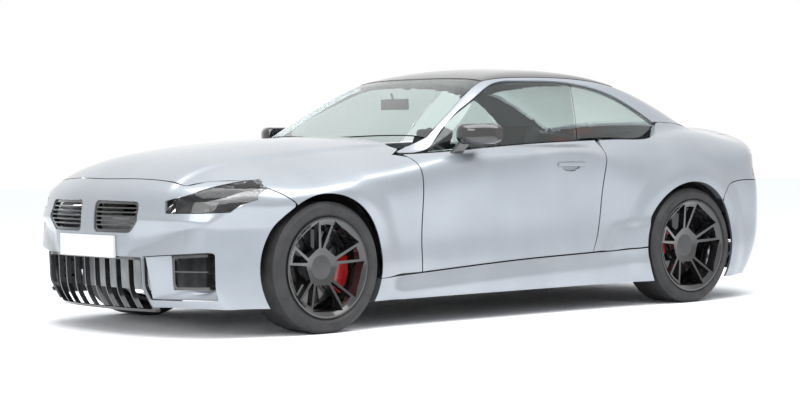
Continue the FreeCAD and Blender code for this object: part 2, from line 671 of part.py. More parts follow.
LIP_POWER_SHARE, LIP_DEPTH_SHARE, LIP_DROP_SHARE = 4, 0.45, 0.9
BELT_POWER_SHARE = 1.5
DOOR_ROWS = (24, 20)
door_left = slab(door_grid(*DOOR_ROWS, 0.0, 0.0, 0.0),
                 door_grid(*DOOR_ROWS, size("door_wall"), size("door_lip"), size("door_foot")))
HANDLE_X = -size("handle_x")
HANDLE_Z = size("handle_z")
handle_y = on_side(HANDLE_X, HANDLE_Z, lower_form)[1]
handle_half = size("handle_length") / 2
cup_half = size("handle_height")
cup = Part.makeSphere(1).transformGeometry(FreeCAD.Matrix(
    handle_half * 0.8, 0, 0, HANDLE_X,
    0, size("handle_cup") / 2, 0, handle_y,
    0, 0, cup_half * 1.3, HANDLE_Z - cup_half * 0.7,
    0, 0, 0, 1))
handle_low = (HANDLE_X - handle_half, handle_y - size("handle_out"), HANDLE_Z - cup_half / 2)
handle_high = (HANDLE_X + handle_half, handle_y + size("handle_out"), HANDLE_Z + cup_half / 2)
handle = block(handle_low, handle_high)
handle = handle.makeFillet(size("handle_out") * 0.6, handle.Edges)
door_left = fused([door_left.cut(cup), handle])
place("door_left", door_left)
place("door_right", mirrored(door_left))

# Side windows
GLASS = size("side_glass")
front_glass_top = share_points(((0.262, 0.664), (0.230, 0.7035), (0.198, 0.743), (0.144, 0.799), (0.052, 0.872),
                                (0.009, 0.905), (-0.1, 0.9325), (-0.245, 0.9315), (-0.2835, 0.927)))
front_glass_low = [(x * HALF_LENGTH, belt(x * HALF_LENGTH)) for x in (0.262, 0.1, -0.05, -0.2135)]
glass_left = side_panel(front_glass_low, front_glass_top, 16, 8, GLASS, cabin_form, -2 * GLASS)
place("door_glass_left", glass_left)
place("door_glass_right", mirrored(glass_left))

quarter_glass_top = share_points(((-0.289, 0.926), (-0.388, 0.896), (-0.474, 0.832), (-0.536, 0.762)))
quarter_glass_low = share_points(((-0.219, 0.6985), (-0.35, 0.703), (-0.47, 0.708), (-0.532, 0.75)))
quarter_glass = side_panel(quarter_glass_low, quarter_glass_top, 10, 6, GLASS, cabin_form, -2 * GLASS)

# Hood
HOOD_REAR = size("hood_rear")
HOOD_FRONT = HALF_LENGTH - size("hood_setback")
hood_edge = Line(((0.0, 0.70), (0.04, 0.742), (0.09, 0.785), (0.2, 0.822), (0.4, 0.829), (0.6, 0.833), (0.76, 0.838),
                  (0.86, 0.82), (0.94, 0.74), (1.0, 0.655)), 1, HALF_WIDTH)
HOOD_SWEEP_SHARE = 0.08


def hood_front(y):
    """Front edge of the hood, swept back towards its sides."""
    return HOOD_FRONT - HOOD_SWEEP_SHARE * HALF_LENGTH * (abs(y) / HALF_WIDTH) ** 2


def hood_side(share, step):
    """Point on the skin beside the hood's left edge, a step outside it, rear to front."""
    y = hood_edge(share)
    x = HOOD_REAR + (hood_front(y) - HOOD_REAR) * share
    return on_top(x, y + step, lower_form)


HOOD_SHARES = [i / 25 for i in range(26)]
hood = plan_panel(lambda y: HOOD_REAR, hood_front, hood_edge, 30, 36, size("hood_wall"), lower_form)
place("hood", hood)

# Front fenders
FENDER_SEAM_SHARES = ((0.70, 0.30), (0.705, 0.43), (0.715, 0.482))
FENDER_NOSE_SHARES = ((0.715, 0.482), (0.745, 0.515), (0.785, 0.545))
FENDER_END = 0.82
fender_seam = along(share_points(FENDER_NOSE_SHARES), 6)
fender_low = [(front_line(sill_line(0.34 * HALF_LENGTH)), sill_line(0.34 * HALF_LENGTH) + DOOR_GAP)]
fender_low += [(x * HALF_LENGTH, sill_line(x * HALF_LENGTH) + DOOR_GAP) for x in (0.42, 0.5)]
fender_low += share_points(((0.6, 0.22), (0.69, 0.22)))
fender_bottom = along([on_side(x, z, lower_form) for x, z in fender_low], 30)
fender_top = [on_side(front_line(0.63 * HEIGHT), 0.635 * HEIGHT, lower_form)]
fender_top += [hood_side(share, GAP) for share in HOOD_SHARES if 0.05 < share < FENDER_END]
fender_top = along(fender_top + [hood_side(FENDER_END, GAP)], 30)
fender_rear = along([fender_bottom[0]] + [on_side(front_line(z * HEIGHT), z * HEIGHT, lower_form)
                                          for z in (0.3, 0.42, 0.55)] + [fender_top[0]], 20)
fender_front = along([fender_bottom[-1]]
                     + [on_side(x, z, lower_form) for x, z in share_points(FENDER_SEAM_SHARES[:2])]
                     + [on_side(x, z, lower_form) for x, z in fender_seam] + [fender_top[-1]], 20)
fender = panel(coons(fender_bottom, fender_top, fender_rear, fender_front), size("fender_wall"), lower_form)
fender = fender.cut(front_cutter)

# Front bumper with its openings
OPEN_START = 0.6 * HALF_LENGTH
OPEN_END = 1.2 * HALF_LENGTH


def front_outline(shares):
    """Outline in the front view from shares of half the width and of the height."""
    return [(y * HALF_WIDTH, z * HEIGHT) for y, z in shares]


GRILLE_SHARES = ((0.066, 0.493), (0.437, 0.490), (0.453, 0.42), (0.385, 0.377), (0.066, 0.377))
INTAKE_SHARES = ((-0.48, 0.292), (-0.48, 0.09), (0.48, 0.09), (0.48, 0.292))
SIDE_INTAKE_SHARES = ((0.482, 0.137), (0.848, 0.137), (0.848, 0.3115), (0.482, 0.295))
SIDE_HOLE_SHARES = ((0.593, 0.173), (0.842, 0.174), (0.842, 0.3065), (0.593, 0.296))
LAMP_SHARES = ((0.617, 0.448), (0.600, 0.492), (0.72, 0.516), (0.815, 0.553), (0.831, 0.566), (0.858, 0.560),
               (0.931, 0.532), (0.948, 0.495), (0.901, 0.451), (0.793, 0.448))
LAMP_REAR = 0.765 * HALF_LENGTH
BUMPER_BOTTOM = size("ground_gap")
BUMPER_WALL = size("bumper_wall")
grille_outline = front_outline(GRILLE_SHARES)
intake_outline = front_outline(INTAKE_SHARES)
side_outline = front_outline(SIDE_INTAKE_SHARES)
hole_outline = front_outline(SIDE_HOLE_SHARES)
lamp_outline = front_outline(LAMP_SHARES)
CORNER = 2 * BUMPER_WALL
GRILLE_CORNERS = [CORNER, CORNER, CORNER, 2 * CORNER, CORNER]


def reflected(points):
    """The points and then their mirror images in turn, for an edge that runs from left to right."""
    return points + [(x, -y, z) for x, y, z in reversed(points) if abs(y) > BODY_ROUND]


BUMPER_ROWS = (56, 24)
bumper_low = [onto((x * HALF_LENGTH, y * HALF_WIDTH, BUMPER_BOTTOM), lower_form)
              for x, y in ((0.71, 0.95), (0.8, 0.93), (0.9, 0.83), (0.95, 0.65), (0.975, 0.35), (0.98, 0.0))]
bumper_high = [on_side(x, z, lower_form) for x, z in shifted(fender_seam, -GAP)[:-1]]
bumper_high += [hood_side(share, GAP) for share in HOOD_SHARES if share > FENDER_END]
bumper_high += [on_top(hood_front(y * HALF_WIDTH) + GAP, y * HALF_WIDTH, lower_form)
                for y in (0.6, 0.5, 0.4, 0.3, 0.2, 0.1, 0.0)]
bumper_bottom = along(bumper_low, BUMPER_ROWS[0])
bumper_top = along(bumper_high, BUMPER_ROWS[0])
bumper_side = along([bumper_bottom[0]] + [on_side(0.72 * HALF_LENGTH, z * HEIGHT, lower_form) for z in (0.2, 0.35)]
                    + [bumper_top[0]], BUMPER_ROWS[1])
bumper_middle = along([bumper_bottom[-1]] + [on_nose(0.0, z * HEIGHT) for z in (0.15, 0.25, 0.35, 0.45, 0.5)]
                      + [bumper_top[-1]], BUMPER_ROWS[1])
bumper = panel(coons(bumper_bottom, bumper_top, bumper_side, bumper_middle), BUMPER_WALL, lower_form)
lamp_shape = prism(lamp_outline, "x", LAMP_REAR, OPEN_END)
for tool in (front_cutter, lamp_shape, prism(grille_outline, "x", OPEN_START, OPEN_END, GRILLE_CORNERS),
             prism(side_outline, "x", OPEN_START, OPEN_END, BUMPER_WALL),
             prism(intake_outline, "x", OPEN_START, OPEN_END, BUMPER_WALL)):
    bumper = bumper.cut(tool)


def duct_wall(front, rear, push):
    """Thin wall between two edges, each two points, pushed out at each of its four corners."""
    inner = [list(front), list(rear)]
    outer = [[tuple(point[k] + shift[k] * DUCT_WALL for k in range(3)) for point, shift in zip(edge, push)]
             for edge in inner]
    return slab(inner, outer)


DUCT_WALL = size("duct_wall")
duct_depth = size("duct_depth")
duct_front = [on_nose(y, z, lower_form, -BUMPER_WALL - DUCT_WALL) for y, z in inset(side_outline, -DUCT_WALL)]
duct_rear = [on_nose(y, z, lower_form, -BUMPER_WALL - duct_depth * part)
             for (y, z), part in zip(hole_outline, (1.0, 0.3, 0.3, 1.0))]
DUCT_PUSH = ((-1, -1, -1), (-1, 1, -1), (-1, 1, 1), (-1, -1, 1))
ducts = []
for first in (3, 0, 2):
    second = (first + 1) % 4
    ducts.append(duct_wall((duct_front[first], duct_front[second]), (duct_rear[first], duct_rear[second]),
                           (DUCT_PUSH[first], DUCT_PUSH[second])))
duct = fused(ducts)
fender = fender.cut(lamp_shape)
place("front_fenders", both(fender))
front_bumper = fused([bumper, mirrored(bumper)])
place("front_bumper", Part.makeCompound([front_bumper, duct, mirrored(duct)]))

# Roof, screens and their frame
screen_side = Line(((0.0, 0.757), (0.23, 0.722), (0.5, 0.675), (0.92, 0.593), (1.0, 0.580)), 1, HALF_WIDTH)
roof_side = Line(((0.0, 0.580), (0.2, 0.575), (0.6, 0.572), (1.0, 0.583)), 1, HALF_WIDTH)
back_side = Line(((0.0, 0.583), (0.5, 0.605), (1.0, 0.628)), 1, HALF_WIDTH)
SCREEN_BASE_SHARE, SCREEN_TOP_SHARE = 0.300, 0.030
ROOF_REAR_SHARE, BACK_BASE_SHARE = -0.462, -0.712
LID_BOW_SHARE = 0.012


def bowed(x_share, bow_share):
    """Cross line that bows back from the middle towards the sides."""
    return lambda y: (x_share - bow_share * (y / (ROOF_EDGE_SHARE * HALF_WIDTH)) ** 2) * HALF_LENGTH


screen_base = bowed(SCREEN_BASE_SHARE, 0.03)
screen_top = bowed(SCREEN_TOP_SHARE, 0.022)
roof_front = bowed(SCREEN_TOP_SHARE - GAP / HALF_LENGTH, 0.022)
roof_rear = bowed(ROOF_REAR_SHARE, -0.01)
back_top = bowed(ROOF_REAR_SHARE - GAP / HALF_LENGTH, -0.01)
back_base = bowed(BACK_BASE_SHARE, -LID_BOW_SHARE)
SCREEN_WALL = size("screen_glass")
windscreen = plan_panel(screen_base, screen_top, screen_side, 14, 14, SCREEN_WALL, cabin_form, -SCREEN_WALL / 2)
rear_window = plan_panel(back_top, back_base, back_side, 12, 12, SCREEN_WALL, cabin_form, -SCREEN_WALL / 2)
place("fixed_windows", Part.makeCompound([windscreen, rear_window, quarter_glass, mirrored(quarter_glass)]))
place("roof_panel", plan_panel(roof_front, roof_rear, roof_side, 14, 14, size("roof_wall"), cabin_form))

screens = ((screen_side, screen_base, screen_top), (roof_side, roof_front, roof_rear),
           (back_side, back_top, back_base))


def screen_edge(place_share, step):
    """Point beside a screen or the roof, a step outside it: 1 to 2 along the windscreen, then roof, then rear window."""
    which = min(int(place_share), 3)
    share = place_share - which
    half, first, second = screens[which - 1]
    y = half(share) + step
    return on_top(first(y) + (second(y) - first(y)) * share, y, body_form)


rail_foot = [hood_side(0.03, 2 * GAP), on_top(0.32 * HALF_LENGTH, 0.738 * HALF_WIDTH),
             on_top(0.275 * HALF_LENGTH, 0.754 * HALF_WIDTH), screen_edge(1.0, GAP)]
foot_lines = [Line([(i / 3, point[k]) for i, point in enumerate(rail_foot)], 1, 1) for k in range(3)]


def rail_inner(place_share):
    """Inner edge of the roof rail from the hood's corner, at 0, to the boot lid's, at 4."""
    if place_share < 1:
        return tuple(line(place_share) for line in foot_lines)
    return screen_edge(place_share, GAP * (1 + max(place_share - 3, 0)))


front_shift = shifted(front_glass_top, -2 * GAP)
quarter_shift = shifted(quarter_glass_top, -2 * GAP)
rail_pairs = [((0.342 * HALF_LENGTH, 0.648 * HEIGHT + BELT_STEP), 0.0),
              ((0.32 * HALF_LENGTH, 0.6525 * HEIGHT), 0.33), ((0.285 * HALF_LENGTH, 0.66 * HEIGHT), 0.67)]
rail_pairs += list(zip(front_shift, (1.0, 1.13, 1.27, 1.5, 1.92, 1.99, 2.225, 2.535, 2.62)))
rail_pairs += list(zip(quarter_shift[1:], (2.84, 3.3, 4.0)))
rail_outer_keys = [on_side(x, z) for (x, z), _ in rail_pairs]
rail_inner_keys = [rail_inner(share) for _, share in rail_pairs]
rail_runs = [0.0]
for i in range(1, len(rail_pairs)):
    steps = [math.dist(keys[i - 1], keys[i]) for keys in (rail_outer_keys, rail_inner_keys)]
    rail_runs.append(rail_runs[-1] + sum(steps) / 2)
outer_lines = [Line([(run, point[k]) for run, point in zip(rail_runs, rail_outer_keys)], 1, 1) for k in range(3)]


def rail_row(share, count):
    """Points across the rail at a share of its length."""
    run = rail_runs[-1] * share
    k = max(i for i in range(len(rail_runs) - 1) if rail_runs[i] <= run)
    part = (run - rail_runs[k]) / (rail_runs[k + 1] - rail_runs[k])
    inner = rail_inner(rail_pairs[k][1] + (rail_pairs[k + 1][1] - rail_pairs[k][1]) * part)
    outer = tuple(line(run) for line in outer_lines)
    return [blend(outer, inner, j / count) for j in range(count + 1)]


RAIL_ROWS, RAIL_PARTS = 75, 5
RAIL_FOOT_SHARE = 0.3
rail_targets = [rail_row(i / RAIL_ROWS, 6) for i in range(RAIL_ROWS + 1)]
rail_end = rail_targets[-1]
rail_base = belt(RAIL_FOOT_SHARE * HALF_LENGTH) - BELT_STEP + GAP
rail_step = RAIL_ROWS // RAIL_PARTS
rail = fused([panel(rail_targets[i * rail_step:(i + 1) * rail_step + 1], size("pillar_wall"))
              for i in range(RAIL_PARTS)])
rail = rail.cut(block((0, 0, 0), (HALF_LENGTH, HALF_WIDTH, rail_base)))
place("roof_rails", both(rail))

# Rear quarters, boot lid and rear bumper
LID_FRONT = -size("lid_front")
LID_PATH = ((-0.80, 0.752), (-0.88, 0.745), (-0.93, 0.757), (-0.945, 0.725), (-0.965, 0.655), (-0.975, 0.58),
            (-0.985, 0.512))
LID_HALF_SHARES = (0.655, 0.665, 0.67, 0.67, 0.655, 0.60, 0.53, 0.50)
TAIL_SEAM_SHARE = 0.512


def lid_grid(step):
    """Points of the boot lid, or of its opening a step outside it; the front edge bows like the rear window's base."""
    path = [(LID_FRONT + step, top_line(LID_FRONT))] + share_points(LID_PATH)
    rows = along([(x, share * HALF_WIDTH + step, z) for (x, z), share in zip(path, LID_HALF_SHARES)], LID_ROWS)
    grid = []
    for i, (x, half, z) in enumerate(rows):
        bow = LID_BOW_SHARE * HALF_LENGTH * (1 - i / LID_ROWS) ** 3
        across = [2 * j / LID_COLUMNS - 1 for j in range(LID_COLUMNS + 1)]
        grid.append([(x + bow * part ** 2, half * part, z) for part in across])
    return grid


LID_ROWS, LID_COLUMNS = 30, 20
place("boot_lid", panel(lid_grid(0.0), size("lid_wall"), lower_form))
lid_opening = lid_grid(DOOR_GAP)


def lid_space(step, level):
    """Room for the front third of the lid, a step outside it, from a level of the form down."""
    top = [[onto(point, lower_form, level) for point in row] for row in lid_grid(step)[:LID_ROWS // 3]]
    return slab(top, [[(x, y, z - 3 * size("lid_wall")) for x, y, z in row] for row in top])



quarter_low = [(rear_line(sill_line(-0.24 * HALF_LENGTH)) - DOOR_GAP, sill_line(-0.24 * HALF_LENGTH) + DOOR_GAP)]
quarter_low += [(-0.33 * HALF_LENGTH, sill_line(-0.33 * HALF_LENGTH) + DOOR_GAP)]
quarter_low += share_points(((-0.42, 0.25), (-0.55, 0.25), (-0.69, 0.25)))
quarter_bottom = along([on_side(x, z) for x, z in quarter_low], 46)
quarter_high = [on_side(x * HALF_LENGTH, z * HEIGHT) for x, z in ((-0.287, 0.6955), (-0.38, 0.6965), (-0.47, 0.70))]
quarter_high += [on_side(x * HALF_LENGTH - GAP, z * HEIGHT + GAP) for x, z in ((-0.53, 0.735), (-0.541, 0.755))]
quarter_high += [rail_end[j] for j in (2, 4, 6)]
quarter_high = [(x - GAP, y, z - GAP) for x, y, z in quarter_high]
quarter_high += [onto(row[-1], lower_form) for row in lid_opening[::2]]
quarter_top = along(quarter_high, 46)
quarter_front = along([quarter_bottom[0]] + [on_side(rear_line(z * HEIGHT) - DOOR_GAP, z * HEIGHT)
                                             for z in (0.309, 0.42, 0.512, 0.60, 0.65)] + [quarter_top[0]], 24)
TAIL_SEAM_SHARES = ((-0.698, 0.45), (-0.715, 0.488), (-0.75, 0.51), (-0.83, 0.515))
tail_seam = along(share_points(TAIL_SEAM_SHARES), 8)
tail_corner = (-0.93 * HALF_LENGTH, 0.84 * HALF_WIDTH, TAIL_SEAM_SHARE * HEIGHT)
quarter_rear = along([quarter_bottom[-1], on_side(-0.695 * HALF_LENGTH, 0.33 * HEIGHT)]
                     + [on_side(x, z) for x, z in tail_seam] + [onto(tail_corner), quarter_top[-1]], 24)
quarter = panel(coons(quarter_bottom, quarter_top, quarter_front, quarter_rear), size("quarter_wall"), body_form)
quarter = quarter.cut(rear_cutter).cut(lid_space(DOOR_GAP, GAP)).cut(lid_space(3 * GAP, -GAP))

REAR_LAMP_SHARES = ((0.58, 0.523), (0.63, 0.60), (0.69, 0.634), (0.9, 0.63), (0.98, 0.60), (0.98, 0.54), (0.9, 0.522))
TAIL_LAMP_FRONT = -0.835 * HALF_LENGTH
rear_lamp_outline = front_outline(REAR_LAMP_SHARES)
rear_lamp_shape = prism(rear_lamp_outline, "x", -OPEN_END, TAIL_LAMP_FRONT)
quarter = quarter.cut(rear_lamp_shape)
place("rear_quarters", both(quarter))

rear_low = [onto((x * HALF_LENGTH, y * HALF_WIDTH, BUMPER_BOTTOM), lower_form)
            for x, y in ((-0.695, 0.95), (-0.8, 0.93), (-0.88, 0.83), (-0.92, 0.6), (-0.93, 0.3), (-0.93, 0.0))]
rear_high = [on_side(x, z, lower_form) for x, z in shifted(tail_seam, GAP)]
rear_high += [onto((tail_corner[0], tail_corner[1], tail_corner[2] - GAP), lower_form)]
rear_high += [onto((x * HALF_LENGTH, y * HALF_WIDTH, tail_corner[2] - GAP), lower_form)
              for x, y in ((-0.975, 0.5), (-0.985, 0.25), (-0.985, 0.0))]
rear_bottom = along(rear_low, 40)
rear_top = along(rear_high, 40)
rear_side = along([rear_bottom[0]] + [on_side(-0.7 * HALF_LENGTH, z * HEIGHT, lower_form) for z in (0.2, 0.35)]
                  + [rear_top[0]], 16)
rear_middle = along([rear_bottom[-1], onto((-0.98 * HALF_LENGTH, 0.0, 0.3 * HEIGHT), lower_form), rear_top[-1]], 16)
rear_bumper = panel(coons(rear_bottom, rear_top, rear_side, rear_middle), BUMPER_WALL, lower_form)
rear_bumper = rear_bumper.cut(rear_cutter)
DIFFUSER_SHARES = ((-0.78, 0.05), (-0.74, 0.20), (-0.66, 0.232), (0.66, 0.232), (0.74, 0.20), (0.78, 0.05))


def rear_shape(outline):
    """Prism along X at the tail from an outline in the rear view."""
    return prism(outline, "x", -OPEN_END, -OPEN_START)


diffuser_outline = front_outline(DIFFUSER_SHARES)
rear_bumper = rear_bumper.cut(rear_shape(diffuser_outline))
place("rear_bumper", fused([rear_bumper, mirrored(rear_bumper)]))

PIPE_Y = (size("pipe_y") - size("pipe_step") / 2, size("pipe_y") + size("pipe_step") / 2)
pipes = []
pipe_holes = []
for side in (1, -1):
    for y in PIPE_Y:
        start = (-HALF_LENGTH + size("pipe_inset"), side * y, size("pipe_z"))
        end = (-HALF_LENGTH + size("pipe_inset") + size("pipe_length"), side * y, size("pipe_z"))
        bore_end = (end[0] - size("pipe_wall"), end[1], end[2])
        pipe = rod(start, end, size("pipe_radius")).cut(rod(start, bore_end, size("pipe_radius") - size("pipe_wall")))
        pipes.append(pipe)
        pipe_holes.append(rod((-HALF_LENGTH - OVERRUN, side * y, size("pipe_z")), end, size("pipe_radius") + GAP))
muffler_front = -HALF_LENGTH + size("pipe_inset") + size("pipe_length")
muffler = block((muffler_front - 1, -PIPE_Y[1] - size("pipe_radius"), size("pipe_z") - size("pipe_radius")),
                (muffler_front + size("pipe_length"), PIPE_Y[1] + size("pipe_radius"),
                 size("pipe_z") + size("pipe_radius")))
place("exhaust", fused([muffler] + pipes))
diffuser_low = reflected([onto((x * HALF_LENGTH, y * HALF_WIDTH, BUMPER_BOTTOM), lower_form)
                          for x, y in ((-0.88, 0.83), (-0.92, 0.6), (-0.93, 0.3), (-0.93, 0.0))])
diffuser_high = reflected([onto((x * HALF_LENGTH, y * HALF_WIDTH, 0.24 * HEIGHT), lower_form)
                           for x, y in ((-0.93, 0.83), (-0.96, 0.6), (-0.98, 0.3), (-0.98, 0.0))])
diffuser_bottom = along(diffuser_low, 24)
diffuser_top = along(diffuser_high, 24)
diffuser_targets = [[blend(a, b, j / 4) for j in range(5)] for a, b in zip(diffuser_bottom, diffuser_top)]
diffuser = panel(diffuser_targets, BUMPER_WALL, lower_form, -BUMPER_WALL)
diffuser = diffuser.common(rear_shape(inset(diffuser_outline, GAP)))
for hole in pipe_holes:
    diffuser = diffuser.cut(hole)
place("rear_diffuser", diffuser)

# Lamps
LAMP_DEPTH = size("lamp_depth")
lamp_low = along([on_nose(0.59 * HALF_WIDTH, 0.435 * HEIGHT), on_nose(0.7 * HALF_WIDTH, 0.435 * HEIGHT),
                  on_nose(0.8 * HALF_WIDTH, 0.44 * HEIGHT), on_side(0.84 * HALF_LENGTH, 0.45 * HEIGHT, lower_form),
                  on_side(0.74 * HALF_LENGTH, 0.47 * HEIGHT, lower_form)], 14)
lamp_high = along([hood_side(share, GAP) for share in (0.99, 0.96, 0.92, 0.88, 0.82, 0.76, 0.72)], 14)
lamp_targets = [[blend(a, b, j / 6) for j in range(7)] for a, b in zip(lamp_low, lamp_high)]
lamp_slab = panel(lamp_targets, LAMP_DEPTH, lower_form, -size("screen_glass") / 2)
headlamp = lamp_slab.common(prism(inset(lamp_outline, GAP / 2), "x", LAMP_REAR + GAP, OPEN_END))
place("headlamps", both(headlamp))
tail_low = along([onto((-0.97 * HALF_LENGTH, 0.56 * HALF_WIDTH, 0.515 * HEIGHT), lower_form),
                  onto((-0.93 * HALF_LENGTH, 0.8 * HALF_WIDTH, 0.515 * HEIGHT), lower_form),
                  on_side(-0.87 * HALF_LENGTH, 0.515 * HEIGHT, lower_form),
                  on_side(-0.80 * HALF_LENGTH, 0.515 * HEIGHT, lower_form)], 12)
tail_high = along([onto((-0.95 * HALF_LENGTH, 0.56 * HALF_WIDTH, 0.645 * HEIGHT), lower_form),
                   onto((-0.90 * HALF_LENGTH, 0.8 * HALF_WIDTH, 0.645 * HEIGHT), lower_form),
                   on_side(-0.86 * HALF_LENGTH, 0.64 * HEIGHT, lower_form),
                   on_side(-0.80 * HALF_LENGTH, 0.64 * HEIGHT, lower_form)], 12)
tail_targets = [[blend(a, b, j / 5) for j in range(6)] for a, b in zip(tail_low, tail_high)]
tail_slab = panel(tail_targets, LAMP_DEPTH, lower_form, -size("screen_glass") / 2)
tail_tool = prism(inset(rear_lamp_outline, GAP / 2), "x", -OPEN_END, TAIL_LAMP_FRONT - GAP)
place("tail_lamps", both(tail_slab.common(tail_tool)))

# Grilles
GRILLE_WALL = 2 * BUMPER_WALL
GRILLE_FRAME = BUMPER_WALL
grille_rows = []
for i in range(37):
    y = (0.5 - i / 36) * 1.0 * HALF_WIDTH
    grille_rows.append([on_nose(y, (0.08 + 0.43 * j / 12) * HEIGHT) for j in range(13)])
grille_slab = panel(grille_rows, GRILLE_WALL, lower_form, -BUMPER_WALL / 2)
hole_rows = []
for i in range(17):
    y = (0.56 + 0.31 * i / 16) * HALF_WIDTH
    hole_rows.append([on_nose(y, (0.15 + 0.18 * j / 8) * HEIGHT) for j in range(9)])
hole_slab = panel(hole_rows, BUMPER_WALL, lower_form, -BUMPER_WALL - duct_depth)


def grille(outline, corners, bars, bar, upright=False):
    """Frame with bars in an opening, before it is curved to the nose."""
    rim = inset(outline, GAP / 4)
    inner = inset(rim, GRILLE_FRAME)
    frame = prism(rim, "x", OPEN_START, OPEN_END, corners).cut(prism(inner, "x", OPEN_START, OPEN_END, corners))
    low = [min(point[k] for point in inner) for k in (0, 1)]
    high = [max(point[k] for point in inner) for k in (0, 1)]
    pieces = [frame]
    field = prism(inset(rim, GRILLE_FRAME / 2), "x", OPEN_START, OPEN_END, corners)
    for i in range(bars):
        share = (i + 1) / (bars + 1)
        if upright:
            y = low[0] + (high[0] - low[0]) * share
            strip = ((y - bar, low[1] - GRILLE_FRAME), (y + bar, low[1] - GRILLE_FRAME),
                     (y + bar, high[1] + GRILLE_FRAME), (y - bar, high[1] + GRILLE_FRAME))
        else:
            z = low[1] + (high[1] - low[1]) * share
            strip = ((low[0] - GRILLE_FRAME, z - bar), (high[0] + GRILLE_FRAME, z - bar),
                     (high[0] + GRILLE_FRAME, z + bar), (low[0] - GRILLE_FRAME, z + bar))
        pieces.append(prism(strip, "x", OPEN_START, OPEN_END).common(field))
    return fused(pieces)


BAR = GRILLE_FRAME / 4
kidney = grille(grille_outline, GRILLE_CORNERS, 5, BAR).common(grille_slab)
middle_grille = grille(intake_outline, BUMPER_WALL, 8, BAR, True).common(grille_slab)
side_grille = grille(hole_outline, BUMPER_WALL, 1, BAR).common(hole_slab)
place("grilles", Part.makeCompound([kidney, mirrored(kidney), side_grille, mirrored(side_grille), middle_grille]))

# Liners, sills and cowl
def liner(axle, centre, radius, outer):
    """Arc shell inside a wheel arch."""
    shell = post(axle, centre, radius + size("liner_wall"), size("liner_inner"), outer)
    shell = shell.cut(post(axle, centre, radius, 0, HALF_WIDTH))
    reach = radius + OVERRUN
    return shell.common(block((axle - reach, 0, centre - OVERRUN), (axle + reach, HALF_WIDTH, centre + reach)))


FRONT_LINER = FRONT_ARCH + size("liner_gap")
REAR_LINER = REAR_ARCH + size("rear_liner_gap")
LINER_END = size("liner_outer")
strut_y = size("front_track") / 2 - size("kingpin_inset") - size("strut_inset")
strut_hole = Part.makeCylinder(size("strut_radius") + GAP, HEIGHT, Vector(FRONT_AXLE, strut_y, 0))
front_liner = liner(FRONT_AXLE, FRONT_HUB, FRONT_LINER, LINER_END).cut(strut_hole)
rear_liner = liner(REAR_AXLE, REAR_HUB, REAR_LINER, LINER_END)
place("arch_liners", Part.makeCompound([front_liner, mirrored(front_liner), rear_liner, mirrored(rear_liner)]))

SILL_SHARES = [-0.44 + 0.94 * i / 40 for i in range(41)]
SILL_INNER = size("floor_half") + size("seat_gap")
sill_targets = []
for x_share in SILL_SHARES:
    x = x_share * HALF_LENGTH
    low, high = size("skirt_bottom"), sill_line(x)
    sill_targets.append([on_side(x, low + (high - low) * j / 10, lower_form) for j in range(11)])
sill_inner = [[(x, SILL_INNER, z) for x, y, z in row] for row in sill_targets]
sill = slab(sill_targets, sill_inner).cut(front_cutter).cut(rear_cutter)
for axle, centre, radius in ((FRONT_AXLE, FRONT_HUB, FRONT_LINER), (REAR_AXLE, REAR_HUB, REAR_LINER)):
    sill = sill.cut(post(axle, centre, radius + size("liner_wall") + GAP, 0, LINER_END + GAP))
place("side_sills", both(sill))

COWL_BASE = size("dash_top") + GAP
cowl_top = [[on_top(HOOD_REAR + 2 * OVERRUN * (1 - i / 3), 0.74 * HALF_WIDTH * (2 * j / 8 - 1), lower_form)
             for j in range(9)] for i in range(7)]
cowl_top = [[(x, y, z - size("cowl_depth")) for x, y, z in row] for row in cowl_top]
cowl_low = [[(x, y, min(z - size("screen_glass"), COWL_BASE)) for x, y, z in row] for row in cowl_top]
place("cowl_panel", slab(cowl_top, cowl_low))


# Plain pieces made of boxes whose sizes follow the sheet
def box(name, low, high):
    """Box between two corners, each corner three expressions in the sheet's values."""
    item = doc.addObject("Part::Box", name)
    for side, start, end in zip(("Length", "Width", "Height"), low, high):
        item.setExpression(side, "(%s) - (%s)" % (end, start))
    for axis, start in zip("xyz", low):
        item.setExpression("Placement.Base." + axis, start)
    return item


def sized(text):
    """Expression in which a dot before a name stands for the sheet."""
    return re.sub(r"\.(?=[a-z])", "Sizes.", text)


def sized_box(name, low, high):
    """Box whose corners are written with sheet names after a dot."""
    return box(name, [sized(part) for part in low], [sized(part) for part in high])


def joined(name, pieces):
    """Fuse boxes into one sub-part."""
    item = doc.addObject("Part::MultiFuse", name)
    item.Shapes = pieces
    item.Refine = True
    item.Label = name
    nodes.append(item)
    return item


def single(name, item):
    """Give a lone primitive its node name."""
    item.Label = name
    nodes.append(item)
    return item


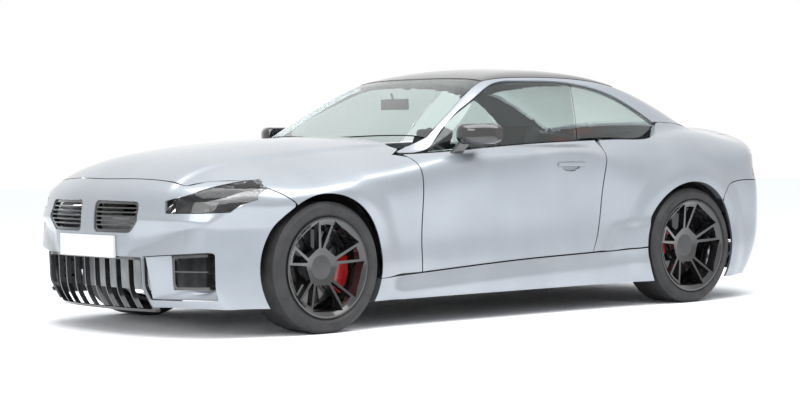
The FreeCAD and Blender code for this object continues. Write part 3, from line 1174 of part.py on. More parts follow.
engine = sized_box("engine_block", (".engine_front - .engine_length", "-.engine_width / 2", ".engine_bottom"),
                   (".engine_front", ".engine_width / 2", ".engine_bottom + .engine_height"))
single("engine_block", engine)
radiator = sized_box("radiator_pack",
                     (".radiator_front - .radiator_depth", "-.radiator_width / 2", ".radiator_bottom"),
                     (".radiator_front", ".radiator_width / 2", ".radiator_bottom + .radiator_height"))
single("radiator_pack", radiator)
floor_boxes = [
    sized_box("floor_plate", ("-.floor_rear", "-.floor_half", ".floor_bottom"),
              (".floor_front", ".floor_half", ".floor_bottom + .floor_wall")),
    sized_box("tunnel", ("-.floor_rear", "-.tunnel_half", ".floor_bottom"),
              (".floor_front", ".tunnel_half", ".floor_bottom + .tunnel_height")),
    sized_box("bulkhead", (".bulkhead_front - .bulkhead_wall", "-.bulkhead_half", ".floor_bottom"),
              (".bulkhead_front", ".bulkhead_half", ".bulkhead_top")),
    sized_box("boot_step", ("-.floor_rear", "-.shelf_half", ".floor_bottom"),
              ("-.floor_rear + .floor_wall", ".shelf_half", ".seat_floor_top")),
    sized_box("seat_floor", ("-.shelf_front - .floor_wall", "-.boot_half", ".seat_floor_top - .floor_wall"),
              ("-.floor_rear + .floor_wall", ".boot_half", ".seat_floor_top")),
    sized_box("boot_floor", ("-.boot_rear", "-.boot_half", ".boot_floor_top - .floor_wall"),
              ("-.shelf_front", ".boot_half", ".boot_floor_top")),
    sized_box("seat_bulkhead", ("-.shelf_front - .floor_wall", "-.boot_half", ".seat_floor_top - .floor_wall"),
              ("-.shelf_front", ".boot_half", ".shelf_top")),
    sized_box("rear_shelf", ("-.shelf_rear", "-.shelf_half", ".shelf_top - .floor_wall"),
              ("-.shelf_front", ".shelf_half", ".shelf_top")),
]
for side, sign, low_y, high_y in (("left", "", ".rail_half - .rail_width", ".rail_half"),
                                  ("right", "-", "-.rail_half", "-.rail_half + .rail_width")):
    floor_boxes.append(sized_box("rail_" + side, (".bulkhead_front - .bulkhead_wall", low_y, ".rail_bottom"),
                                 (".rail_front", high_y, ".rail_bottom + .rail_height")))
    for end, middle in (("front", ".jack_front"), ("rear", "-.jack_rear")):
        floor_boxes.append(sized_box("jack_pad_%s_%s" % (end, side),
                                     ("%s - .jack_pad / 2" % middle, "%s.jack_y - .jack_pad / 2" % sign,
                                      ".floor_bottom - .jack_pad_height"),
                                     ("%s + .jack_pad / 2" % middle, "%s.jack_y + .jack_pad / 2" % sign,
                                      ".floor_bottom + .floor_wall / 2")))
joined("floor_pan", floor_boxes)
dash = sized_box("dashboard", (".dash_front - .dash_depth", "-.dash_width / 2", ".dash_top - .dash_height"),
                 (".dash_front", ".dash_width / 2", ".dash_top"))
single("dashboard", dash)

# Wheels and tyres, each turned about its own axis and set on its hub
def origin_item(body, role):
    """Origin plane or axis of a body."""
    return [item for item in body.Origin.OriginFeatures if item.Role == role][0]


def profile(body, name, plane, points):
    """Closed sketch through points, each a pair of expressions held by dimensions."""
    sketch = body.newObject("Sketcher::SketchObject", name)
    sketch.AttachmentSupport = [(origin_item(body, plane), "")]
    sketch.MapMode = "FlatFace"
    values = [(sheet_value(a), sheet_value(b)) for a, b in points]
    count = len(points)
    for i in range(count):
        start, end = values[i], values[(i + 1) % count]
        sketch.addGeometry(Part.LineSegment(Vector(start[0], start[1], 0), Vector(end[0], end[1], 0)), False)
    for i in range(count):
        sketch.addConstraint(Sketcher.Constraint("Coincident", i, 2, (i + 1) % count, 1))
    for i, (a, b) in enumerate(points):
        for kind, expression, value in (("DistanceX", a, values[i][0]), ("DistanceY", b, values[i][1])):
            row = sketch.addConstraint(Sketcher.Constraint(kind, -1, 1, i, 1, value))
            sketch.setExpression("Constraints[%d]" % row, sized(expression))
    return sketch


def sheet_value(expression):
    """Number that an expression in sheet names gives now."""
    terms = [term.strip() for term in expression.split("+")]
    total = 0.0
    for term in terms:
        product = 1.0
        for factor in term.split("*"):
            factor = factor.strip()
            product *= size(factor[1:]) if factor.startswith(".") else float(factor)
        total += product
    return total


def turned(body, name, points):
    """Revolve a profile of axial and radial places about the body's Y axis."""
    sketch = profile(body, name + "_profile", "YZ_Plane", points)
    feature = body.newObject("PartDesign::Revolution", name)
    feature.Profile = sketch
    feature.ReferenceAxis = (sketch, ["H_Axis"])
    feature.Angle = 360
    return feature


def scaled_points(shares, width, radius):
    """Profile points as expressions, from shares of a width and of a radius."""
    return [("%s * %s" % (a, width), "%s * %s" % (b, radius)) for a, b in shares]


BARREL_SHARES = ((0.0, 1.0), (0.03, 1.0), (0.045, 0.935), (0.2, 0.935), (0.27, 0.885), (0.60, 0.885), (0.68, 0.935),
                 (0.955, 0.935), (0.97, 1.0), (1.0, 1.0), (1.0, 0.965), (0.955, 0.90), (0.70, 0.90), (0.61, 0.855),
                 (0.26, 0.855), (0.19, 0.90), (0.0, 0.93))
SPIDER_SHARES = ((0.575, 0.004), (0.575, 0.31), (0.62, 0.34), (0.80, 0.905), (0.955, 0.905), (0.87, 0.62),
                 (0.79, 0.36), (0.765, 0.24), (0.765, 0.004))
WINDOW_SHARES = ((0.36, -0.45), (0.86, -0.437), (0.875, 0.0), (0.86, 0.437), (0.36, 0.45))
SLOT_SHARES = ((0.38, -0.04), (0.84, -0.16), (0.86, 0.0), (0.84, 0.16), (0.38, 0.04))
WINDOW_DEPTH_SHARE = 0.48
TREAD_SHARES = ((0.0, 0.83), (0.02, 0.935), (0.10, 1.0), (0.90, 1.0), (0.98, 0.935), (1.0, 0.83))
BEAD_SHARES = (0.07, 0.93)


def make_wheel(label, end, x, y, z, turn):
    """Rim, spokes, brake disc and stub axle as one body."""
    width, radius = ".%s_rim_width" % end, ".%s_rim_radius" % end
    body = doc.addObject("PartDesign::Body", label)
    turned(body, label + "_barrel", scaled_points(BARREL_SHARES, width, radius))
    turned(body, label + "_spider", scaled_points(SPIDER_SHARES, width, radius))
    disc = [("%s * %s" % (a, width), "%s * %s" % (b, radius)) for a, b in ((0.60, 0.31), (0.475, 0.31))]
    disc += [("%s * %s" % (a, width), ".disc_radius") for a in (0.475, 0.35)]
    disc += [("%s * %s" % (a, width), "%s * %s" % (b, radius)) for a, b in ((0.35, 0.33), (0.46, 0.27))]
    disc += [("%s * %s" % (a, width), ".axle_radius") for a in (0.46, 0.08)]
    disc += [("%s * %s" % (a, width), "0.004 * " + radius) for a in (0.08, 0.60)]
    turned(body, label + "_disc", disc)
    for name, shares, phase in (("window", WINDOW_SHARES, 0.5), ("slot", SLOT_SHARES, 0.0)):
        points = []
        for along_share, across_share in shares:
            turned_angle = 2 * math.pi * (phase / size("spoke_pairs") + 0.25)
            u = along_share * math.cos(turned_angle) - across_share * along_share * math.sin(turned_angle)
            v = along_share * math.sin(turned_angle) + across_share * along_share * math.cos(turned_angle)
            points.append(("%.6f * %s" % (u, radius), "%.6f * %s" % (v, radius)))
        sketch = profile(body, "%s_%s_outline" % (label, name), "XZ_Plane", points)
        sketch.setExpression("AttachmentOffset.Base.z", "-Sizes.%s_rim_width" % end)
        pocket = body.newObject("PartDesign::Pocket", "%s_%s" % (label, name))
        pocket.Profile = sketch
        pocket.Length = size(end + "_rim_width") * WINDOW_DEPTH_SHARE
        pocket.Type = 0
        pocket.setExpression("Length", "Sizes.%s_rim_width * %s" % (end, WINDOW_DEPTH_SHARE))
        pocket.Reversed = True
        pattern = body.newObject("PartDesign::PolarPattern", "%s_%s_ring" % (label, name))
        pattern.Originals = [pocket]
        pattern.Axis = (sketch, ["N_Axis"])
        pattern.Angle = 360
        pattern.setExpression("Occurrences", "Sizes.spoke_pairs")
        body.Tip = pattern
    body.Label = label
    body.Placement = FreeCAD.Placement(Vector(x, y, z), FreeCAD.Rotation(Vector(0, 0, 1), turn))
    nodes.append(body)


def make_tyre(label, end, x, y, z, turn):
    """Tyre as one ring."""
    body = doc.addObject("PartDesign::Body", label)
    width, rim = ".%s_tyre_width" % end, ".%s_rim_radius" % end
    bead = ["0.935 * %s + .bead_gap" % rim, "1.01 * " + rim]
    points = [("%s * %s" % (BEAD_SHARES[0], width), radius) for radius in bead]
    points += scaled_points(TREAD_SHARES, width, ".%s_tyre_radius" % end)
    points += [("%s * %s" % (BEAD_SHARES[1], width), radius) for radius in reversed(bead)]
    turned(body, label + "_ring", points)
    body.Label = label
    body.Placement = FreeCAD.Placement(Vector(x, y, z), FreeCAD.Rotation(Vector(0, 0, 1), turn))
    nodes.append(body)


for end, axle, side, sign in (("front", FRONT_AXLE, "left", 1), ("front", FRONT_AXLE, "right", -1),
                              ("rear", REAR_AXLE, "left", 1), ("rear", REAR_AXLE, "right", -1)):
    turn = 0 if sign > 0 else 180
    hub_z = size(end + "_tyre_radius")
    middle = size(end + "_track") / 2
    make_wheel("wheel_%s_%s" % (end, side), end, axle, sign * (middle - size(end + "_rim_width") / 2), hub_z, turn)
    make_tyre("tyre_%s_%s" % (end, side), end, axle, sign * (middle - size(end + "_tyre_width") / 2), hub_z, turn)

# Knuckles, calipers and axles
PIN = size("pin_radius")
EYE = size("eye_height") / 2
KNUCKLE = size("knuckle_half")
BEARING = size("bearing_radius")
AXLE_RADIUS = size("axle_radius")
PIN_GAP = size("pin_gap")
ARM = size("arm_radius")
CLEAR = size("caliper_gap")
CALIPER_INNER_SHARE = 0.57


def hub_places(end):
    """Axial places of the brake disc and of the stub axle's inner end for one axle."""
    inner = size(end + "_track") / 2 - size(end + "_rim_width") / 2
    width = size(end + "_rim_width")
    return inner + 0.08 * width, inner + 0.35 * width, inner + 0.475 * width


def carrier(end, axle, centre):
    """Bearing housing with an upright and the stub axle's bore."""
    stub, disc_in, disc_out = hub_places(end)
    housing_end = disc_in - CLEAR
    housing = post(axle, centre, BEARING, stub, housing_end)
    reach = size("pin_reach")
    upright = block((axle - KNUCKLE, stub, centre - reach + EYE),
                    (axle + KNUCKLE, housing_end - CLEAR, centre + reach - EYE))
    return housing.fuse(upright), stub, housing_end


def bracket(axle, centre, lean, stub, housing_end):
    """Arm from the bearing housing to the caliper."""
    inner = size("caliper_radius") * CALIPER_INNER_SHARE - 2 * size("seat_gap")
    x = axle + math.cos(lean) * inner
    z = centre + math.sin(lean) * inner
    return rod((axle, housing_end - ARM, centre), (x, housing_end - ARM, z), ARM * 0.9)


def caliper(end, axle, centre, lean):
    """Brake caliper straddling the disc: a ring sector with a slot."""
    stub, disc_in, disc_out = hub_places(end)
    outer, inner = size("caliper_radius"), size("caliper_radius") * CALIPER_INNER_SHARE
    low, high = disc_in - CLEAR - ARM * 1.7, disc_out + CLEAR + ARM
    ring = post(axle, centre, outer, low, high).cut(post(axle, centre, inner, low, high))
    ring = ring.cut(post(axle, centre, size("disc_radius") + CLEAR, disc_in - CLEAR, disc_out + CLEAR))
    half = math.radians(size("caliper_span")) / 2
    far = 2 * outer
    wedge = [(axle, centre)] + [(axle + far * math.cos(lean + side * half),
                                 centre + far * math.sin(lean + side * half)) for side in (-1, 1)]
    return ring.common(prism(wedge, "y", low, high))


FRONT_LEAN = math.radians(194)
REAR_LEAN = math.radians(8)
kingpin_y = size("front_track") / 2 - size("kingpin_inset")
pin_low = FRONT_HUB - size("pin_reach")
pin_high = FRONT_HUB + size("pin_reach")
front_carrier, front_stub, front_housing = carrier("front", FRONT_AXLE, FRONT_HUB)
eyes = [Part.makeCylinder(size("eye_radius"), 2 * EYE, Vector(FRONT_AXLE, kingpin_y, z - EYE))
        for z in (pin_low, pin_high)]
steering_arm = rod((FRONT_AXLE - KNUCKLE / 2, kingpin_y, FRONT_HUB - 2 * KNUCKLE),
                   (FRONT_AXLE - size("pin_reach"), kingpin_y - KNUCKLE, FRONT_HUB - 2 * KNUCKLE), ARM * 0.7)
knuckle = fused([front_carrier, steering_arm, bracket(FRONT_AXLE, FRONT_HUB, FRONT_LEAN, front_stub, front_housing)]
                + eyes)
knuckle = knuckle.cut(post(FRONT_AXLE, FRONT_HUB, AXLE_RADIUS + PIN_GAP, 0, HALF_WIDTH))
for z in (pin_low, pin_high):
    knuckle = knuckle.cut(Part.makeCylinder(PIN + PIN_GAP, 2 * EYE, Vector(FRONT_AXLE, kingpin_y, z - EYE)))
place("knuckle_left", knuckle)
place("knuckle_right", mirrored(knuckle))
front_caliper = caliper("front", FRONT_AXLE, FRONT_HUB, FRONT_LEAN)
place("caliper_left", front_caliper)
place("caliper_right", mirrored(front_caliper))

rear_carrier, rear_stub, rear_housing = carrier("rear", REAR_AXLE, REAR_HUB)
rear_knuckle = fused([rear_carrier, bracket(REAR_AXLE, REAR_HUB, REAR_LEAN, rear_stub, rear_housing)])
rear_knuckle = rear_knuckle.cut(post(REAR_AXLE, REAR_HUB, AXLE_RADIUS + PIN_GAP, rear_stub - 1, HALF_WIDTH))
rear_caliper = caliper("rear", REAR_AXLE, REAR_HUB, REAR_LEAN)
place("rear_calipers", both(rear_caliper))

SUB_HALF = size("subframe_half")
SUB_DEPTH = size("subframe_depth")
SUB_LENGTH = size("subframe_length") / 2
arm_low = pin_low - EYE - CLEAR - ARM
arm_high = pin_high + EYE + CLEAR + ARM
front_pieces = [block((FRONT_AXLE - SUB_LENGTH, -SUB_HALF, arm_low - ARM), (FRONT_AXLE + SUB_LENGTH, SUB_HALF,
                                                                             arm_low - ARM + SUB_DEPTH / 2))]
for sign in (1, -1):
    pin_y = sign * kingpin_y
    front_pieces += [
        rod((FRONT_AXLE, sign * (SUB_HALF - ARM), arm_low), (FRONT_AXLE, pin_y, arm_low), ARM),
        rod((FRONT_AXLE, pin_y, arm_low - ARM), (FRONT_AXLE, pin_y, pin_low + EYE - PIN_GAP), PIN),
        rod((FRONT_AXLE, sign * (size("rail_half") + PIN), arm_high), (FRONT_AXLE, pin_y, arm_high), ARM),
        rod((FRONT_AXLE, pin_y, pin_high - EYE + PIN_GAP), (FRONT_AXLE, pin_y, arm_high + ARM), PIN),
        rod((FRONT_AXLE, sign * strut_y, arm_high - ARM), (FRONT_AXLE, sign * strut_y, size("strut_top")),
            size("strut_radius")),
        rod((FRONT_AXLE, sign * (size("rail_half") - size("rail_width") / 2), arm_low),
            (FRONT_AXLE, sign * (size("rail_half") - size("rail_width") / 2), size("rail_bottom") - PIN_GAP), PIN),
    ]
place("front_axle", Part.makeCompound(fused(front_pieces).Solids))

rear_sub = REAR_HUB - size("pin_reach")
rear_pieces = [block((REAR_AXLE - SUB_LENGTH, -SUB_HALF, rear_sub - ARM), (REAR_AXLE + SUB_LENGTH, SUB_HALF,
                                                                          rear_sub + ARM)),
               post(REAR_AXLE, REAR_HUB, size("pin_reach") * 0.85, -SUB_HALF / 3, SUB_HALF / 3),
               post(REAR_AXLE, REAR_HUB, ARM, -rear_stub - PIN_GAP, rear_stub + PIN_GAP)]
for sign in (1, -1):
    rear_pieces.append(rod((REAR_AXLE, sign * (SUB_HALF - ARM), rear_sub),
                           (REAR_AXLE, sign * (rear_stub + ARM), rear_sub), ARM))
    rear_pieces.append(rod((REAR_AXLE, sign * (rear_stub + ARM), rear_sub - ARM),
                           (REAR_AXLE, sign * (rear_stub + ARM), REAR_HUB - BEARING / 2), ARM))
rear_pieces += [rear_knuckle, mirrored(rear_knuckle)]
rear_whole = fused(rear_pieces)
for sign in (1, -1):
    rear_whole = rear_whole.cut(rod((REAR_AXLE, sign * (rear_stub - PIN_GAP), REAR_HUB),
                                    (REAR_AXLE, sign * HALF_WIDTH, REAR_HUB), AXLE_RADIUS + PIN_GAP))
place("rear_axle", rear_whole)

# Door mirrors, each a case on a short foot
MIRROR_REAR = size("mirror_x")
MIRROR_Z = belt(MIRROR_REAR) + size("mirror_rise")
MIRROR_HALF = size("mirror_height") / 2
MIRROR_DEPTH = size("mirror_depth")
MIRROR_CORNER = size("mirror_foot")
mirror_inner = size("mirror_reach") - size("mirror_width")
MIRROR_CASE_SHARES = ((0.0, 0.93, 0.88), (0.12, 0.99, 0.98), (0.4, 0.95, 1.0), (0.7, 0.75, 0.97), (0.9, 0.5, 0.84),
                      (1.0, 0.27, 0.6))


def upright_section(low, high, y, radius):
    """Rounded outline square to Y between two corners of the side view."""
    places = ((low[0], low[1]), (high[0], low[1]), (high[0], high[1]), (low[0], high[1]))
    corners = [Vector(x, y, z) for x, z in places]
    return Part.Wire(rounded_edges(corners, radius))


case_sections = []
for across, depth, height in MIRROR_CASE_SHARES:
    case_sections.append(upright_section((MIRROR_REAR, MIRROR_Z - MIRROR_HALF * height),
                                         (MIRROR_REAR + MIRROR_DEPTH * depth, MIRROR_Z + MIRROR_HALF * height),
                                         mirror_inner + size("mirror_width") * across,
                                         [MIRROR_CORNER / 2, MIRROR_CORNER * 1.6, MIRROR_CORNER * 1.6, MIRROR_CORNER / 2]))
case = Part.makeLoft(case_sections, True, False)
foot_x = MIRROR_REAR + MIRROR_DEPTH
foot_z = belt(foot_x) - BELT_STEP - MIRROR_CORNER / 4
foot_y = on_side(foot_x, foot_z, lower_form)[1] - GAP
foot_start = upright_section((foot_x - 2 * MIRROR_CORNER, foot_z - MIRROR_CORNER),
                             (foot_x + MIRROR_CORNER, foot_z), foot_y, MIRROR_CORNER / 3)
foot_end = upright_section((foot_x - 4 * MIRROR_CORNER, MIRROR_Z - MIRROR_HALF * 0.8),
                           (foot_x - MIRROR_CORNER, MIRROR_Z - MIRROR_HALF * 0.8 + MIRROR_CORNER),
                           mirror_inner + MIRROR_CORNER, MIRROR_CORNER / 3)
door_seat = door_left.copy()
door_seat.translate(Vector(0, size("seat_gap"), 0))
foot = Part.makeLoft([foot_start, foot_end], True, True).cut(door_left).cut(door_seat)
mirror_left = fused([case, foot])
place("mirror_left", mirror_left)
place("mirror_right", mirrored(mirror_left))


# Seats and the rest of the cabin
def cushion(low, high, edge):
    """Block with rounded edges."""
    solid = block(low, high)
    return solid.makeFillet(edge, solid.Edges)


def seat(x, y, width, length, base, thick, back_height, lean, head):
    """Cushion, leaning back and headrest as one soft solid."""
    edge = thick / 4
    lower = cushion((x - length / 2, y - width / 2, base), (x + length / 2, y + width / 2, base + thick), edge)
    back = cushion((-thick, -width / 2, 0), (0, width / 2, back_height), edge)
    top = cushion((-thick * 0.8, -head / 2, back_height - thick / 4), (0, head / 2, back_height + thick * 1.3), edge)
    upper = back.fuse(top)
    upper.rotate(Vector(0, 0, 0), Vector(0, 1, 0), -lean)
    upper.translate(Vector(x - length / 2 + thick, y, base + thick / 2))
    return fused([lower, upper])


seat_top = size("floor_bottom") + size("floor_wall") + size("seat_gap")
front_seat = seat(size("seat_x"), size("seat_y"), size("seat_width"), size("seat_length"), size("seat_base"),
                  size("seat_thick"), size("seat_back"), size("seat_lean"), size("head_width"))
seat_third = (size("seat_length") / 3, size("seat_width") / 3)
pedestal = block((size("seat_x") - seat_third[0], size("seat_y") - seat_third[1], seat_top),
                 (size("seat_x") + seat_third[0], size("seat_y") + seat_third[1], size("seat_base") + EYE))
front_seat = fused([front_seat, pedestal])
BENCH_OVERLAP_SHARE, BENCH_REACH_SHARE = 1.8, 0.75
seat_gap = size("seat_gap")
bench_half = size("rear_seat_width") / 2
bench_low = size("seat_floor_top") + seat_gap
bench_edge = size("seat_thick") / 4
bench_back = -size("shelf_front") + seat_gap
rear_back = cushion((bench_back, -bench_half, bench_low),
                    (bench_back + size("seat_thick"), bench_half, size("shelf_top") + seat_gap), bench_edge)
bench_start = -size("floor_rear") + size("floor_wall") + seat_gap - size("seat_thick") * BENCH_OVERLAP_SHARE
bench_end = -size("floor_rear") + size("seat_length") * BENCH_REACH_SHARE
rear_bench = cushion((bench_start, -bench_half, bench_low), (bench_end, bench_half, bench_low + size("seat_thick")),
                     bench_edge)
rear_seat = fused([rear_back, rear_bench])
place("seats", Part.makeCompound([front_seat, mirrored(front_seat), rear_seat]))

ring = Part.makeTorus(size("wheel_ring"), size("wheel_rim"))
spokes = [rod((0, 0, 0), (size("wheel_ring") * math.cos(math.radians(angle)),
                          size("wheel_ring") * math.sin(math.radians(angle)), 0), size("wheel_rim") * 0.7)
          for angle in (90, 270, 0)]
boss = Part.makeCylinder(size("wheel_ring") * 0.3, size("wheel_rim") * 2.4, Vector(0, 0, -size("wheel_rim") * 1.2))
steering = fused([ring, boss] + spokes)
steering.rotate(Vector(0, 0, 0), Vector(0, 1, 0), -90 + size("wheel_tilt"))
steering.translate(Vector(size("wheel_x"), size("wheel_y"), size("wheel_z")))
column_end = (size("dash_front") - size("dash_depth") - size("seat_gap"), size("wheel_y"),
              size("wheel_z") - (size("dash_front") - size("dash_depth") - size("wheel_x"))
              * math.tan(math.radians(size("wheel_tilt"))))
column = rod((size("wheel_x"), size("wheel_y"), size("wheel_z")), column_end, size("wheel_rim") * 1.6)
column = column.common(block((0, 0, 0), (column_end[0], HALF_WIDTH, HEIGHT)))
place("steering_wheel", fused([steering, column]))

glass_x = 0.1 * HALF_LENGTH
glass_z = on_top(glass_x, 0, cabin_form)[2]
mirror_top = glass_z - size("screen_glass") * 2.2
housing = cushion((glass_x - size("cabin_mirror_depth") * 1.5, -size("cabin_mirror_width") / 2,
                   mirror_top - size("cabin_mirror_height") * 1.5),
                  (glass_x - size("cabin_mirror_depth") / 2, size("cabin_mirror_width") / 2,
                   mirror_top - size("cabin_mirror_height") / 2),
                  size("cabin_mirror_depth") / 4)
stem = rod((glass_x - size("cabin_mirror_depth"), 0, mirror_top - size("cabin_mirror_height")),
           (glass_x, 0, mirror_top), size("cabin_mirror_depth") / 4)
place("interior_mirror", fused([housing, stem]))

# Blank plates, each seated on its bumper
half_plate = size("plate_width") / 2
plate_half = size("plate_height") / 2
plates = []
for x, z, bumper_place in ((HALF_LENGTH, size("front_plate_z"), on_nose),
                           (-HALF_LENGTH, size("rear_plate_z"), lambda y, z: (-0.98 * HALF_LENGTH, y, z))):
    rows = [[bumper_place(half_plate * 1.1 * (i / 4 - 1), z + plate_half * 1.3 * (j / 2 - 1)) for j in range(5)]
            for i in range(9)]
    seat_tool = panel(rows, 2 * size("plate_thick"), lower_form, GAP / 3)
    ends = sorted((x, x - math.copysign(size("plate_thick"), x)))
    plates.append(block((ends[0], -half_plate, z - plate_half), (ends[1], half_plate, z + plate_half)).cut(seat_tool))
place("number_plates", Part.makeCompound(plates))

doc.recompute()
for item in doc.Objects:
    if "Invalid" in item.State or "Error" in item.State:
        raise SystemExit("%s failed: %s" % (item.Name, item.State))

for item in nodes:
    if item.Shape.isNull() or not item.Shape.isValid():
        raise SystemExit("%s has no sound shape" % item.Label)
os.makedirs("parts", exist_ok=True)
for item in nodes:
    item.Shape.exportStep("parts/%s.step" % item.Label)
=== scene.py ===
"""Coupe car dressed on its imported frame: paint, glass, lamps, wheels and cabin.

Lengths are in metres, +X is forward, +Y is left and +Z is up.
"""

import json
import logging
import math
from dataclasses import dataclass, field
from enum import Enum

import bmesh
import bpy
import numpy as np
from mathutils import Matrix, Vector

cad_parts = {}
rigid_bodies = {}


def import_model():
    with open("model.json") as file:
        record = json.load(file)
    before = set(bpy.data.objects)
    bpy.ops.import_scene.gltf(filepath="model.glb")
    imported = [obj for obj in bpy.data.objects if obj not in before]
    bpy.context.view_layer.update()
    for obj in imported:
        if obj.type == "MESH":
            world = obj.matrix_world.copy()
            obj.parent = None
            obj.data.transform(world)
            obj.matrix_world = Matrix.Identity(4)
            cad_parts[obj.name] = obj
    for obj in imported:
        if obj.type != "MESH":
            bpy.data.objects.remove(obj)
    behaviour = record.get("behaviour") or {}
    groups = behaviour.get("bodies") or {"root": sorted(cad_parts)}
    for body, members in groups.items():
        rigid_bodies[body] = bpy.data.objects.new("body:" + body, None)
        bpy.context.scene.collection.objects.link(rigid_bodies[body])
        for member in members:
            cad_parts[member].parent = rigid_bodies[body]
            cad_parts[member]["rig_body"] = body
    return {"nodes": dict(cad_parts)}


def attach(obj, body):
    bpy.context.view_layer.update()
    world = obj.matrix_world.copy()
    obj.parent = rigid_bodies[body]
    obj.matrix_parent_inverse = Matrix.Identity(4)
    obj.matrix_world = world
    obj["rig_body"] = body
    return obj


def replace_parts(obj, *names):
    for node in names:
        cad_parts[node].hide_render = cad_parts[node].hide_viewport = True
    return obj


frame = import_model()
log = logging.getLogger("coupe")

LENGTH, WIDTH, HEIGHT = 4.580, 1.887, 1.403
WHEELBASE, FRONT_OVERHANG = 2.747, 0.857
FRONT_TRACK, REAR_TRACK = 1.617, 1.605
FRONT_TYRE_RADIUS, REAR_TYRE_RADIUS = 0.3375, 0.3395
HALF_LENGTH, HALF_WIDTH = LENGTH / 2, WIDTH / 2
FRONT_AXLE = HALF_LENGTH - FRONT_OVERHANG
REAR_AXLE = FRONT_AXLE - WHEELBASE
FRONT_HUB = np.array((FRONT_AXLE, FRONT_TRACK / 2, FRONT_TYRE_RADIUS))
REAR_HUB = np.array((REAR_AXLE, REAR_TRACK / 2, REAR_TYRE_RADIUS))
SIDES: tuple[str, str] = ("left", "right")
Colour = tuple[float, float, float]
Place = tuple[float, float, float]


class Skin(Enum):
    """Which part of the painted form a panel lies on."""

    LOWER = "lower"
    CABIN = "cabin"
    WHOLE = "whole"


class Curve:
    """Natural cubic curve through a few points, straight beyond its ends."""

    def __init__(self, points: tuple[tuple[float, float], ...], run: float, rise: float) -> None:
        """Solve for the second derivative at each point.

        Args:
            points: Places and values, as shares of a run and of a rise.
            run: Length that the places are shares of.
            rise: Length that the values are shares of.
        """
        table = np.array(sorted(points))
        self.at = table[:, 0] * run
        self.value = table[:, 1] * rise
        span = np.diff(self.at)
        count = len(self.at)
        matrix = np.eye(count)
        right = np.zeros(count)
        for i in range(1, count - 1):
            matrix[i, i - 1:i + 2] = span[i - 1] / 6, (span[i - 1] + span[i]) / 3, span[i] / 6
            right[i] = np.diff(self.value)[i] / span[i] - np.diff(self.value)[i - 1] / span[i - 1]
        self.bend = np.linalg.solve(matrix, right)

    def __call__(self, x: np.ndarray) -> np.ndarray:
        """Read the curve: two cubics weighted by the distance to the points on both sides.

        Args:
            x: Places along the run.

        Returns:
            The curve's values there.
        """
        at, value, bend = self.at, self.value, self.bend
        inside = np.clip(x, at[0], at[-1])
        high = np.clip(np.searchsorted(at, inside, side="right"), 1, len(at) - 1)
        low = high - 1
        span = at[high] - at[low]
        before, after = (at[high] - inside) / span, (inside - at[low]) / span
        curve = (before ** 3 - before) * bend[low] + (after ** 3 - after) * bend[high]
        found = before * value[low] + after * value[high] + curve * span * span / 6
        first, last = at[1] - at[0], at[-1] - at[-2]
        start = (value[1] - value[0]) / first - bend[1] * first / 6
        end = (value[-1] - value[-2]) / last + bend[-2] * last / 6
        return found + np.minimum(x - at[0], 0) * start + np.maximum(x - at[-1], 0) * end


def smooth_max(values: list[np.ndarray], rounding: float) -> np.ndarray:
    """Take the largest of some values with its corners rounded.

    The formula is top plus r times the log of the sum of exp((value - top) / r).

    Args:
        values: Arrays of one shape.
        rounding: Length r over which one value hands over to the next.

    Returns:
        An array of the same shape.
    """
    stack = np.stack(values)
    top = stack.max(axis=0)
    return top + rounding * np.log(np.exp((stack - top) / rounding).sum(axis=0))


def fade(distance: np.ndarray, length: float) -> np.ndarray:
    """Half a cosine wave that falls from one at zero to zero at a length."""
    return (1 + np.cos(np.pi * np.clip(distance / length, 0, 1))) / 2


def ramp(distance: np.ndarray, length: float | np.ndarray, rounding: float) -> np.ndarray:
    """Rise from zero to one over a length with both corners rounded.

    The formula is (soft(d) - soft(d - length)) / length, where soft(d) is the rounded larger of d and zero.

    Args:
        distance: Distance past the foot of the ramp.
        length: Run of the ramp.
        rounding: Length over which the corners are rounded.

    Returns:
        Shares from zero to one.
    """
    zero = np.zeros_like(distance)
    low = smooth_max([distance, zero], rounding)
    return (low - smooth_max([distance - length, zero], rounding)) / length


def side_edge(start: tuple[float, float], end: tuple[float, float]) -> tuple[float, float, float, float]:
    """Lay a straight line in the side view.

    Args:
        start: First point, as shares of the half length and the height.
        end: Second point, as the same shares.

    Returns:
        Place of the first point along X and Z, then the unit direction along X and Z.
    """
    run, rise = (end[0] - start[0]) * HALF_LENGTH, (end[1] - start[1]) * HEIGHT
    length = math.hypot(run, rise)
    return start[0] * HALF_LENGTH, start[1] * HEIGHT, run / length, rise / length


